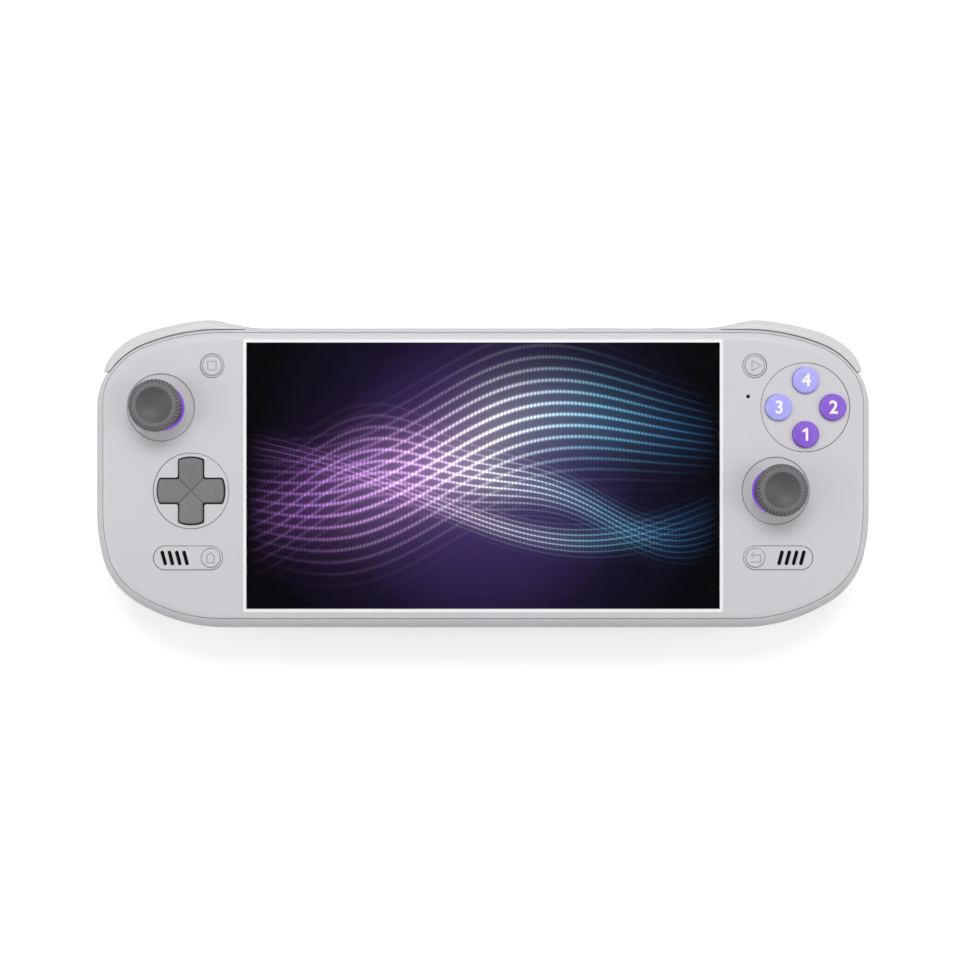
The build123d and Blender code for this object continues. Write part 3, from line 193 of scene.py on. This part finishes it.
def pictureFinish(name, panel):
    material = newMaterial(name)
    tree = material.node_tree
    low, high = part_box(panel)
    centre = (low + high) / 2
    half = (high - low) / 2
    place = addNode(tree, "ShaderNodeTexCoord").outputs["Object"]
    place = addNode(tree, "ShaderNodeMapping",
                    {"Location": (-centre.x / half.x, -centre.y / half.y, 0),
                     "Scale": (1 / half.x, 1 / half.y, 0)}, {"Vector": place}).outputs[0]
    split = addNode(tree, "ShaderNodeSeparateXYZ", {}, {"Vector": place})
    made = {"across": split.outputs[0], "up": split.outputs[1]}
    for result, operation, *inputs in pictureSteps():
        numbers = {index: value for index, value in enumerate(inputs) if not isinstance(value, str)}
        links = {index: made[value] for index, value in enumerate(inputs) if isinstance(value, str)}
        step = addNode(tree, "ShaderNodeMath", {"operation": operation, **numbers}, links)
        made[result] = step.outputs[0]

    squat = addNode(tree, "ShaderNodeVectorMath", {"operation": "MULTIPLY", 1: (1, picture["glowTall"], 0)},
                    {0: place})
    distance = addNode(tree, "ShaderNodeVectorMath", {"operation": "LENGTH"}, {0: squat.outputs[0]})
    glow = addNode(tree, "ShaderNodeValToRGB", {}, {"Fac": distance.outputs["Value"]})
    tints = addNode(tree, "ShaderNodeValToRGB", {}, {"Fac": made["tint"]})
    for ramp, stops in ((glow.color_ramp, picture["glow"]), (tints.color_ramp, picture["tints"])):
        while len(ramp.elements) < len(stops):
            ramp.elements.new(0.5)
        for element, (code, position) in zip(ramp.elements, stops):
            element.position = position
            element.color = colour(code)
    scaled = addNode(tree, "ShaderNodeVectorMath", {"operation": "SCALE"},
                     {0: tints.outputs[0], "Scale": made["total"]})
    lit = addNode(tree, "ShaderNodeVectorMath", {"operation": "ADD"},
                  {0: scaled.outputs[0], 1: glow.outputs[0]})
    shader = addNode(tree, "ShaderNodeBsdfPrincipled",
                     {"Base Color": colour(picture["unlit"]), "Roughness": picture["rough"],
                      "Specular IOR Level": 0.0, "Emission Strength": 1.0},
                     {"Emission Color": lit.outputs[0]})
    return closeMaterial(material, shader)


# Circuit board: solder mask that shows the tracks under it, over the weave of the glass cloth

board = {"pitch": 2.4, "trackShare": 0.07, "long": 1.6, "wide": 0.55, "mask": ("0E4A2C", "125636"),
         "track": "2C7D52", "weave": 0.4, "weaveDetail": 2.0, "weaveDeep": 0.02, "rough": 0.35, "ior": 1.5}


def boardFinish(name):
    material = newMaterial(name)
    tree = material.node_tree
    place = addNode(tree, "ShaderNodeTexCoord").outputs["Object"]
    tracks = addNode(tree, "ShaderNodeTexBrick",
                     {"Scale": 1 / (board["pitch"] * mm), "Mortar Size": board["trackShare"],
                      "Brick Width": board["long"], "Row Height": board["wide"],
                      "Color1": colour(board["mask"][0]), "Color2": colour(board["mask"][1]),
                      "Mortar": colour(board["track"])}, {"Vector": place})
    weave = addNode(tree, "ShaderNodeTexNoise",
                    {"Scale": 1 / (board["weave"] * mm), "Detail": board["weaveDetail"]}, {"Vector": place})
    bump = addNode(tree, "ShaderNodeBump", {"Distance": board["weaveDeep"] * mm},
                   {"Height": weave.outputs[0]})
    shader = addNode(tree, "ShaderNodeBsdfPrincipled", {"Roughness": board["rough"], "IOR": board["ior"]},
                     {"Base Color": tracks.outputs[0], "Normal": bump.outputs[0]})
    return closeMaterial(material, shader)


# Cover glass: clear, with finger smears that change only its gloss

clear = {"colour": "FFFFFF", "smear": 18, "smearDetail": 5.0, "lowSmear": 0.35, "highSmear": 0.7,
         "roughest": 0.06, "ior": 1.18}


def clearFinish(name):
    material = newMaterial(name)
    tree = material.node_tree
    place = addNode(tree, "ShaderNodeTexCoord").outputs["Object"]
    smear = addNode(tree, "ShaderNodeTexNoise",
                    {"Scale": 1 / (clear["smear"] * mm), "Detail": clear["smearDetail"]}, {"Vector": place})
    rough = addNode(tree, "ShaderNodeMapRange",
                    {"From Min": clear["lowSmear"], "From Max": clear["highSmear"], "To Min": 0.0,
                     "To Max": clear["roughest"]}, {"Value": smear.outputs[0]})
    shader = addNode(tree, "ShaderNodeBsdfPrincipled",
                     {"Base Color": colour(clear["colour"]), "IOR": clear["ior"], "Transmission Weight": 1.0},
                     {"Roughness": rough.outputs[0]})
    return closeMaterial(material, shader)


# Light guide under the sticks: a soft glow that drifts between two colours

guide = {"colour": "6A45A8", "cloud": 5.0, "cloudDetail": 1.0, "glow": (("6230CC", 0.35), ("9A58CC", 0.65)),
         "rough": 0.4, "strength": 0.7}


def guideFinish(name):
    material = newMaterial(name)
    tree = material.node_tree
    place = addNode(tree, "ShaderNodeTexCoord").outputs["Object"]
    cloud = addNode(tree, "ShaderNodeTexNoise",
                    {"Scale": 1 / (guide["cloud"] * mm), "Detail": guide["cloudDetail"]}, {"Vector": place})
    glow = addNode(tree, "ShaderNodeValToRGB", {}, {"Fac": cloud.outputs[0]})
    for element, (code, position) in zip(glow.color_ramp.elements, guide["glow"]):
        element.position = position
        element.color = colour(code)
    shader = addNode(tree, "ShaderNodeBsdfPrincipled",
                     {"Base Color": colour(guide["colour"]), "Roughness": guide["rough"],
                      "Emission Strength": guide["strength"]},
                     {"Emission Color": glow.outputs[0]})
    return closeMaterial(material, shader)


finishes = {
    # Spark-eroded ABS: an even satin that breaks highlights into a soft sheen
    "body_plastic": grainedFinish("satinMouldedAbs", {
        "colour": "CFCDD1", "tone": 0.02, "grain": 0.3, "patch": 40, "depth": 0.012,
        "rough": 0.46, "spread": 0.04, "ior": 1.53}),
    # The shoulder keys are worn a little smoother, so their edges catch a brighter line
    "shoulder_plastic": grainedFinish("polishedMouldedAbs", {
        "colour": "D4D4D4", "tone": 0.02, "grain": 0.35, "patch": 30, "depth": 0.006,
        "rough": 0.34, "spread": 0.05, "ior": 1.53}),
    # White frame round the screen: glossy, with a faint flow mark
    "screen_trim": grainedFinish("glossWhiteAbs", {
        "colour": "F6F5F7", "tone": 0.015, "grain": 2.0, "patch": 25, "depth": 0.004,
        "rough": 0.22, "spread": 0.04, "ior": 1.53}),
    # Coated cover glass: almost no mirror image, with finger smears that only blur it
    "screen_glass": clearFinish("coatedCoverGlass"),
    # Backlit panel showing the picture
    "display": pictureFinish("litDisplayPanel", "display_panel"),
    # Pressed sheet: fine rolling lines along its length
    "bracket_metal": grainedFinish("rolledAluminiumSheet", {
        "colour": "B9BBBE", "tone": 0.08, "grain": 0.4, "patch": 15, "depth": 0.01, "stretch": (0.05, 1, 1),
        "rough": 0.35, "spread": 0.06, "metal": 1.0}),
    # Thumb rubber: dull, slightly powdery
    "stick_rubber": grainedFinish("softStickRubber", {
        "colour": "6E6C70", "tone": 0.06, "grain": 0.18, "patch": 6, "depth": 0.02,
        "rough": 0.68, "spread": 0.08, "ior": 1.52}),
    # Slippery black acetal of the stick works
    "stick_plastic": grainedFinish("blackAcetal", {
        "colour": "232325", "tone": 0.1, "grain": 0.5, "patch": 8, "depth": 0.008,
        "rough": 0.38, "spread": 0.06, "ior": 1.48}),
    # Milky light guide, lit from below: the glow drifts from violet to a warmer purple
    "light_ring": guideFinish("litLightGuide"),
    # Grey direction pad: satin
    "dpad_plastic": grainedFinish("satinGreyAbs", {
        "colour": "7A787B", "tone": 0.05, "grain": 0.25, "patch": 9, "depth": 0.014,
        "rough": 0.44, "spread": 0.08, "ior": 1.53}),
    # Two-shot buttons: the colour seems to lie a little under a smooth skin
    "button_lilac": grainedFinish("lilacButtonAbs", {
        "colour": "B2B0FB", "tone": 0.04, "grain": 0.5, "patch": 7, "depth": 0.004,
        "rough": 0.3, "spread": 0.05, "ior": 1.53, "inside": 0.15, "coat": 0.15}),
    "button_purple": grainedFinish("purpleButtonAbs", {
        "colour": "8C5FD8", "tone": 0.06, "grain": 0.5, "patch": 7, "depth": 0.004,
        "rough": 0.3, "spread": 0.05, "ior": 1.53, "inside": 0.1, "coat": 0.15}),
    # Translucent silicone mats under the keys
    "mat_rubber": grainedFinish("greySilicone", {
        "colour": "9FA0A2", "tone": 0.06, "grain": 0.4, "patch": 5, "depth": 0.012,
        "rough": 0.55, "spread": 0.06, "ior": 1.41, "inside": 0.3}),
    # Turned and drawn steel: fine turning lines
    "steel": grainedFinish("plainDrawnSteel", {
        "colour": "BDBCBA", "tone": 0.15, "grain": 0.25, "patch": 3, "depth": 0.006, "stretch": (1, 1, 0.1),
        "rough": 0.3, "spread": 0.08, "metal": 1.0}),
    # Black glass-filled nylon of the sockets and the fan
    "jack_plastic": grainedFinish("blackFilledNylon", {
        "colour": "1A1A1B", "tone": 0.15, "grain": 0.2, "patch": 5, "depth": 0.01,
        "rough": 0.5, "spread": 0.07, "ior": 1.53}),
    # Solder mask over copper tracks
    "board_green": boardFinish("greenSolderMask"),
    # Wrinkled pouch film of the battery
    "battery_wrap": grainedFinish("blackPouchFilm", {
        "colour": "303033", "tone": 0.2, "grain": 1.6, "patch": 14, "depth": 0.05,
        "rough": 0.32, "spread": 0.08, "ior": 1.5}),
    # Bare copper fins, browned in patches
    "heat_sink_metal": grainedFinish("bareCopper", {
        "colour": "D89A78", "tone": 0.3, "grain": 0.3, "patch": 6, "depth": 0.006, "stretch": (1, 1, 0.2),
        "rough": 0.34, "spread": 0.08, "metal": 1.0}),
}

# Dish of the thumb rubber: its darker colour is painted shade of the hollow; it is also a little smoother
# than the rim
dishShadeFinish = grainedFinish("paintedShadeDishRubber", {
    "colour": "525053", "tone": 0.08, "grain": 0.25, "patch": 4, "depth": 0.008,
    "rough": 0.52, "spread": 0.06, "ior": 1.52})
# Grooves of the knurl: painted dark as the shade deep between the ridges, and rougher
grooveShadeFinish = grainedFinish("paintedShadeGrooveRubber", {
    "colour": "2C2B2E", "tone": 0.1, "grain": 0.18, "patch": 4, "depth": 0.02,
    "rough": 0.8, "spread": 0.06, "ior": 1.52})
# White ink of the button figures: thick pad print, faintly glossy
figureFinish = grainedFinish("whitePadPrint", {
    "colour": "FBF4FD", "tone": 0.02, "grain": 0.3, "patch": 4, "depth": 0.004,
    "rough": 0.4, "spread": 0.05})
# Grey ink of the small symbols, hardly darker than the body
symbolFinish = grainedFinish("greyPadPrint", {
    "colour": "ADABAF", "tone": 0.05, "grain": 0.3, "patch": 3, "depth": 0.004,
    "rough": 0.5, "spread": 0.05})
# Foam of the speakers: nothing behind the slots reflects
foamFinish = grainedFinish("speakerFoam", {
    "colour": "0C0B0D", "tone": 0.2, "grain": 0.4, "patch": 3, "depth": 0.06,
    "rough": 0.9, "spread": 0.05, "ior": 1.3})

ownFinish = {"speakers": foamFinish}
slotOf = {part["node"]: part["material_slot"] for part in frame["record"]["subparts"]}
for node, piece in frame["nodes"].items():
    for materialSlot in piece.material_slots:
        materialSlot.material = ownFinish.get(node, finishes[slotOf[node]])
print("finishes given to", len(frame["nodes"]), "nodes")


# New pieces are modelled in place, then put down with their place in the mesh


def clearSelection():
    if bpy.context.object and bpy.context.object.mode != "OBJECT":
        bpy.ops.object.mode_set(mode="OBJECT")
    bpy.ops.object.select_all(action="DESELECT")


def chooseOnly(piece):
    clearSelection()
    piece.select_set(True)
    bpy.context.view_layer.objects.active = piece


def putDown(piece, name, look, body):
    chooseOnly(piece)
    bpy.ops.object.transform_apply(location=True, rotation=True, scale=True)
    piece.name = name
    piece.data.materials.clear()
    for material in look:
        piece.data.materials.append(material)
    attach(piece, body)
    piece.select_set(False)


def chooseVertices(piece, wanted):
    bpy.ops.object.mode_set(mode="OBJECT")
    for face in piece.data.polygons:
        face.select = False
    for edge in piece.data.edges:
        edge.select = False
    for vertex in piece.data.vertices:
        vertex.select = wanted(vertex.co)
    bpy.ops.object.mode_set(mode="EDIT")
    bpy.ops.mesh.select_mode(type="VERT")


def chooseFaces(piece, wanted):
    bpy.ops.object.mode_set(mode="EDIT")
    bpy.ops.mesh.select_mode(type="FACE")
    bpy.ops.mesh.select_all(action="DESELECT")
    bpy.ops.object.mode_set(mode="OBJECT")
    for face in piece.data.polygons:
        face.select = wanted(face)
    bpy.ops.object.mode_set(mode="EDIT")


def combine(piece, other, operation):
    chooseOnly(piece)
    bpy.ops.object.modifier_add(type="BOOLEAN")
    piece.modifiers[0].operation = operation
    piece.modifiers[0].object = other
    bpy.ops.object.modifier_apply(modifier=piece.modifiers[0].name)
    bpy.data.objects.remove(other)


# Stick caps: dome, neck and a head whose rim has slanted ridges round a smooth lip. Each ring of the profile
# is a radius and a depth below the highest point, in millimetres

stickCap = {
    "ridges": 40,
    "columnsPerRidge": 4,
    "ridgeColumns": (1, 2),
    "ridgeShare": 1.08,
    "twistDeg": 3.2,
    "below": ((1.52, 9.44), (4.05, 10.39), (6.77, 12.95), (7.71, 12.95), (6.29, 11.11), (4.45, 9.69),
              (2.1, 8.75), (2.1, 4.8), (2.4, 4.45), (5.5, 4.4), (5.9, 4.1)),
    "ridged": ((6.2, 3.4), (6.65, 2.6), (6.95, 2.0), (7.08, 1.5), (7.08, 1.05), (6.9, 0.62), (6.45, 0.28)),
    "above": ((6.32, 0.1), (6.1, 0.0), (5.4, 0.0), (5.25, 0.05)),
    "dishR": 5.2,
    "dishDeep": 1.6,
    "dishRings": 9,
    "dishMargin": 1.2,  # times the depth: faces above this and inside the dish get its painted-shade finish
    "grooveMargin": 0.05,
    "sameLevel": 0.0001,
    "smoothDeg": 32,
}


def dishProfile():
    bowlR = (stickCap["dishR"] ** 2 + stickCap["dishDeep"] ** 2) / (2 * stickCap["dishDeep"])
    shares = [1 - index / stickCap["dishRings"] for index in range(1, stickCap["dishRings"])]
    radii = [stickCap["dishR"] * share for share in shares]
    return [(radius, stickCap["dishDeep"] - bowlR + math.sqrt(bowlR ** 2 - radius ** 2)) for radius in radii]


def stepRidges(piece, radius, depth, kind, middle):
    columns = stickCap["ridges"] * stickCap["columnsPerRidge"]
    growth = stickCap["ridgeShare"] if kind == "ridged" else 1 / stickCap["ridgeShare"]

    def onRing(point):
        level = abs(point.z / mm + depth) < stickCap["sameLevel"]
        return level and math.hypot(point.x, point.y) / mm > radius / 2

    def onRidge(point):
        if kind == "plain":  # the ridges still stand out here
            betweenR = radius * (1 + stickCap["ridgeShare"]) / 2
            return onRing(point) and math.hypot(point.x, point.y) / mm > betweenR
        column = round(math.degrees(math.atan2(point.y, point.x)) / (360 / columns))
        return onRing(point) and column % stickCap["columnsPerRidge"] in stickCap["ridgeColumns"]

    chooseVertices(piece, onRidge)
    bpy.ops.transform.resize(value=(growth, growth, 1), center_override=middle)
    chooseVertices(piece, onRing)


# Faces low between the ridges, which are given the painted groove shade
def inGroove(reach, depth):
    for (lowR, lowDepth), (highR, highDepth) in zip(stickCap["ridged"], stickCap["ridged"][1:]):
        if highDepth < depth < lowDepth:
            floorR = highR + (lowR - highR) * (depth - highDepth) / (lowDepth - highDepth)
            return reach < floorR * (1 + stickCap["ridgeShare"]) / 2 - stickCap["grooveMargin"]
    return False


def buildStickCap(side):
    low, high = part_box(side + "_stick_cap")
    x, y = (low.x + high.x) / 2, (low.y + high.y) / 2
    rings = [(ring, "plain") for ring in stickCap["below"]]
    rings += [(ring, "ridged") for ring in stickCap["ridged"]]
    rings += [(ring, "plain") for ring in list(stickCap["above"]) + dishProfile()]
    (radius, depth), kind = rings[0]
    clearSelection()
    bpy.ops.mesh.primitive_circle_add(vertices=stickCap["ridges"] * stickCap["columnsPerRidge"],
                                      radius=radius * mm, fill_type="NGON", location=(x, y, high.z))
    piece = bpy.context.object
    bpy.ops.object.mode_set(mode="EDIT")
    bpy.ops.mesh.select_all(action="SELECT")
    bpy.ops.transform.translate(value=(0, 0, -depth * mm))
    for (nextRadius, nextDepth), nextKind in rings[1:]:
        bpy.ops.mesh.extrude_region_move(TRANSFORM_OT_translate={"value": (0, 0, (depth - nextDepth) * mm)})
        share = nextRadius / radius
        middle = (x, y, high.z - nextDepth * mm)
        bpy.ops.transform.resize(value=(share, share, 1), center_override=middle)
        if nextKind != kind:
            stepRidges(piece, nextRadius, nextDepth, nextKind, middle)
        if nextKind == "ridged":
            bpy.ops.transform.rotate(value=math.radians(stickCap["twistDeg"]), orient_axis="Z",
                                     center_override=middle)
        radius, depth, kind = nextRadius, nextDepth, nextKind
    bpy.ops.mesh.select_all(action="SELECT")
    bpy.ops.mesh.normals_make_consistent(inside=False)
    bpy.ops.object.mode_set(mode="OBJECT")
    # The rim's own rubber, the dish with its painted shade, and the knurl's grooves with their painted shade
    look = [finishes["stick_rubber"], dishShadeFinish, grooveShadeFinish]
    putDown(piece, side + "KnurledCap", look, side + "_stick")
    for face in piece.data.polygons:
        reach = math.hypot(face.center.x - x, face.center.y - y) / mm
        depth = (high.z - face.center.z) / mm
        inDish = reach < stickCap["dishR"] and depth < stickCap["dishMargin"] * stickCap["dishDeep"]
        face.material_index = 1 if inDish else 2 if inGroove(reach, depth) else 0
    piece.select_set(True)
    bpy.ops.object.shade_smooth_by_angle(angle=math.radians(stickCap["smoothDeg"]))
    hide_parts(side + "_stick_cap")


for side in ("left", "right"):
    buildStickCap(side)
print("stick caps made")


# Cover glass, a hair above the panel so that the two surfaces never touch

glass = {"clearance": 0.03, "edge": 0.15, "edgeSteps": 2}
low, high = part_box("screen_glass")
underside = low.z + glass["clearance"] * mm
clearSelection()
bpy.ops.mesh.primitive_cube_add(size=1, location=((low.x + high.x) / 2, (low.y + high.y) / 2,
                                                  (underside + high.z) / 2))
piece = bpy.context.object
piece.scale = (high.x - low.x, high.y - low.y, high.z - underside)
bpy.ops.object.transform_apply(location=False, rotation=False, scale=True)
bpy.ops.object.modifier_add(type="BEVEL")
piece.modifiers[0].width = glass["edge"] * mm
piece.modifiers[0].segments = glass["edgeSteps"]
bpy.ops.object.modifier_apply(modifier=piece.modifiers[0].name)
putDown(piece, "coverGlass", [finishes["screen_glass"]], "housing")
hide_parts("screen_glass")
print("cover glass made")


# Plain numbers on three of the face buttons: a thin plate of text, sunk into the crown of the button

figures = {"tall": 3.9, "thick": 0.14, "proud": 0.02, "bold": 0.022,
           "on": {"2": "face_button_right", "3": "face_button_left", "4": "face_button_top"}}
for digit, node in figures["on"].items():
    low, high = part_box(node)
    clearSelection()
    bpy.ops.object.text_add()
    piece = bpy.context.object
    piece.data.body = digit
    piece.data.size = 1.0
    piece.data.offset = figures["bold"]
    piece.data.extrude = 0.5
    bpy.ops.object.convert(target="MESH")
    corners = [vertex.co for vertex in piece.data.vertices]
    start = [min(point[axis] for point in corners) for axis in range(3)]
    end = [max(point[axis] for point in corners) for axis in range(3)]
    size = figures["tall"] * mm / (end[1] - start[1])
    thick = figures["thick"] * mm
    piece.scale = (size, size, thick)
    piece.location = ((low.x + high.x) / 2 - size * (start[0] + end[0]) / 2,
                      (low.y + high.y) / 2 - size * (start[1] + end[1]) / 2,
                      high.z + figures["proud"] * mm - thick / 2)
    putDown(piece, "figure" + digit, [figureFinish], node)
print("figures made")


# Marks drawn with round-ended strokes, in millimetres from the middle of their button: the figure 1 on the
# lowest face button, and a square, a triangle, a house and a return arrow on the small buttons

symbols = {
    "proud": 0.012,
    "width": {"face_button_bottom": 0.7},
    "plainWidth": 0.4,
    "roundShare": 0.48,
    "roundSteps": 4,
    "lines": {
        "face_button_bottom": (((-0.85, 0.95), (0.15, 1.6), (0.15, -1.6)),),
        "select_button": (((-1.25, -1.25), (1.25, -1.25), (1.25, 1.25), (-1.25, 1.25), (-1.25, -1.25)),),
        "start_button": (((-0.85, 1.5), (1.85, 0), (-0.85, -1.5), (-0.85, 1.5)),),
        "home_button": (((-1.32, 0.4), (0, 1.6), (1.32, 0.4)), ((-1.0, 0.3), (-1.0, -1.4)),
                        ((1.0, 0.3), (1.0, -1.4)), ((-1.0, -1.4), (1.0, -1.4))),
        "back_button": (((-1.29, 0.8), (1.5, 0.8), (1.5, -1.25), (-1.29, -1.25)),
                        ((-1.29, 0.8), (-0.65, 1.5)), ((-1.29, 0.8), (-0.65, 0.1))),
    },
}


def drawStroke(start, end, centre, height, width):
    run = math.dist(start, end)
    clearSelection()
    bpy.ops.mesh.primitive_plane_add(size=1, location=(centre[0] + (start[0] + end[0]) / 2 * mm,
                                                       centre[1] + (start[1] + end[1]) / 2 * mm, height),
                                     rotation=(0, 0, math.atan2(end[1] - start[1], end[0] - start[0])))
    piece = bpy.context.object
    piece.scale = ((run + width) * mm, width * mm, 1)
    bpy.ops.object.transform_apply(location=False, rotation=False, scale=True)
    bpy.ops.object.mode_set(mode="EDIT")
    bpy.ops.mesh.select_all(action="SELECT")
    bpy.ops.mesh.bevel(offset=width * symbols["roundShare"] * mm, segments=symbols["roundSteps"],
                       affect="VERTICES")
    bpy.ops.mesh.select_all(action="SELECT")
    bpy.ops.mesh.extrude_region_move(TRANSFORM_OT_translate={"value": (0, 0, -2 * symbols["proud"] * mm)})
    bpy.ops.mesh.select_all(action="SELECT")
    bpy.ops.mesh.normals_make_consistent(inside=False)
    bpy.ops.object.mode_set(mode="OBJECT")
    return piece


for node, lines in symbols["lines"].items():
    low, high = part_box(node)
    centre = ((low.x + high.x) / 2, (low.y + high.y) / 2)
    height = high.z + symbols["proud"] * mm
    width = symbols["width"].get(node, symbols["plainWidth"])
    strokes = [stroke for line in lines for stroke in zip(line, line[1:])]
    mark, *others = [drawStroke(start, end, centre, height, width) for start, end in strokes]
    for other in others:
        combine(mark, other, "UNION")
    ink = figureFinish if node == "face_button_bottom" else symbolFinish
    putDown(mark, node + "Symbol", [ink], node)
print("symbols made")


# Housing screws: a rounded head with a cross recess that faces down its well, and a plain shank

screw = {"headR": 2.1, "headTall": 1.3, "sides": 32, "edge": 0.35, "edgeSteps": 3, "shankR": 1.0,
         "slotLong": 2.5, "slotWide": 0.55, "slotDeep": 0.8, "apart": 5.0, "facing": 0.9}


def middlesOf(node, apart):
    groups = []
    for vertex in frame["nodes"][node].data.vertices:
        point = (vertex.co.x, vertex.co.y)
        for group in groups:
            if math.dist(point, group[0]) < apart:
                group.append(point)
                break
        else:
            groups.append([point])
    spans = [[(min(values), max(values)) for values in zip(*group)] for group in groups]
    return [((x[0] + x[1]) / 2, (y[0] + y[1]) / 2) for x, y in spans]


def buildScrew(x, y, low, high):
    clearSelection()
    bpy.ops.mesh.primitive_cylinder_add(vertices=screw["sides"], radius=screw["headR"] * mm,
                                        depth=screw["headTall"] * mm,
                                        location=(x, y, low + screw["headTall"] * mm / 2))
    piece = bpy.context.object
    chooseFaces(piece, lambda face: face.normal.z < -screw["facing"])
    bpy.ops.mesh.bevel(offset=screw["edge"] * mm, segments=screw["edgeSteps"])
    chooseFaces(piece, lambda face: face.normal.z > screw["facing"])
    bpy.ops.mesh.inset(thickness=(screw["headR"] - screw["shankR"]) * mm)
    rise = high - low - screw["headTall"] * mm
    bpy.ops.mesh.extrude_region_move(TRANSFORM_OT_translate={"value": (0, 0, rise)})
    bpy.ops.object.mode_set(mode="OBJECT")
    for long, wide in ((screw["slotLong"], screw["slotWide"]), (screw["slotWide"], screw["slotLong"])):
        bpy.ops.mesh.primitive_cube_add(size=1, location=(x, y, low))
        cutter = bpy.context.object
        cutter.scale = (long * mm, wide * mm, 2 * screw["slotDeep"] * mm)
        combine(piece, cutter, "DIFFERENCE")
    return piece


low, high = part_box("housing_screws")
screws = [buildScrew(x, y, low.z, high.z) for x, y in middlesOf("housing_screws", screw["apart"] * mm)]
clearSelection()
for piece in screws:
    piece.select_set(True)
bpy.context.view_layer.objects.active = screws[0]
bpy.ops.object.join()
putDown(screws[0], "housingScrews", [finishes["steel"]], "housing")
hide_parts("housing_screws")
print("housing screws made:", len(screws))


# White floor, in metres: it keeps the shadow, and the camera sees it lifted to white, also through glass

paper = {"size": 3, "grey": 0.82, "rough": 0.9, "specular": 0.1, "lift": 0.4}
paperFinish = newMaterial("whitePaper")
tree = paperFinish.node_tree
path = addNode(tree, "ShaderNodeLightPath")
seen = addNode(tree, "ShaderNodeMath", {"operation": "MAXIMUM"},
               {0: path.outputs["Is Camera Ray"], 1: path.outputs["Is Transmission Ray"]})
lift = addNode(tree, "ShaderNodeMath", {"operation": "MULTIPLY", 1: paper["lift"]}, {0: seen.outputs[0]})
shader = addNode(tree, "ShaderNodeBsdfPrincipled",
                 {"Base Color": [paper["grey"]] * 3 + [1], "Roughness": paper["rough"],
                  "Specular IOR Level": paper["specular"], "Emission Color": (1, 1, 1, 1)},
                 {"Emission Strength": lift.outputs[0]})
closeMaterial(paperFinish, shader)
clearSelection()
bpy.ops.mesh.primitive_plane_add(size=paper["size"])
floor = bpy.context.object
floor.name = "floor"
floor.data.materials.append(paperFinish)

# Studio, in metres: a soft box beyond the top edge, two weak side boxes and a grey room, dark overhead

room = {"around": 0.475, "overhead": 0.12, "darkFrom": 0.93, "darkest": 0.99}
world = bpy.data.worlds.new("room")
bpy.context.scene.world = world
world.use_nodes = True
tree = world.node_tree
tree.nodes.clear()
direction = addNode(tree, "ShaderNodeTexCoord").outputs["Generated"]
height = addNode(tree, "ShaderNodeSeparateXYZ", {}, {0: direction}).outputs[2]
shade = addNode(tree, "ShaderNodeMapRange",
                {"From Min": room["darkFrom"], "From Max": room["darkest"], "To Min": room["around"],
                 "To Max": room["overhead"]}, {"Value": height})
background = addNode(tree, "ShaderNodeBackground", {"Color": (1, 1, 1, 1)}, {"Strength": shade.outputs[0]})
addNode(tree, "ShaderNodeOutputWorld", {}, {"Surface": background.outputs[0]})

lamps = {
    "topBox": {"place": (0.0, 0.38, 0.56), "size": (0.5, 0.25), "watts": 2.15},
    "leftBox": {"place": (-0.5, -0.05, 0.4), "size": (0.25, 0.4), "watts": 0.68},
    "rightBox": {"place": (0.5, -0.05, 0.4), "size": (0.25, 0.4), "watts": 0.7},
}
for name, lamp in lamps.items():
    clearSelection()
    bpy.ops.object.light_add(type="AREA", location=lamp["place"])
    light = bpy.context.object
    light.name = name
    light.data.shape = "RECTANGLE"
    light.data.size, light.data.size_y = lamp["size"]
    light.data.energy = lamp["watts"]
    aim = -light.location.normalized()
    light.rotation_euler = aim.to_track_quat("-Z", "Y").to_euler()

# The camera looks straight down, a little left of and below the middle, with its frame shifted back

camera = {"place": (-3.3, -12.2, 423.0), "looksAt": (-0.9, -1.91), "across": 282.7, "above": 400.0,
          "film": 36}
clearSelection()
bpy.ops.object.camera_add(location=[value * mm for value in camera["place"]], rotation=(0, 0, 0))
eye = bpy.context.object
eye.data.sensor_width = camera["film"]
eye.data.lens = camera["film"] * camera["above"] / camera["across"]
eye.data.shift_x = (camera["looksAt"][0] - camera["place"][0]) / camera["across"]
eye.data.shift_y = (camera["looksAt"][1] - camera["place"][1]) / camera["across"]
bpy.context.scene.camera = eye
bpy.context.scene.view_settings.view_transform = "Standard"
print("floor, lamps and camera placed")
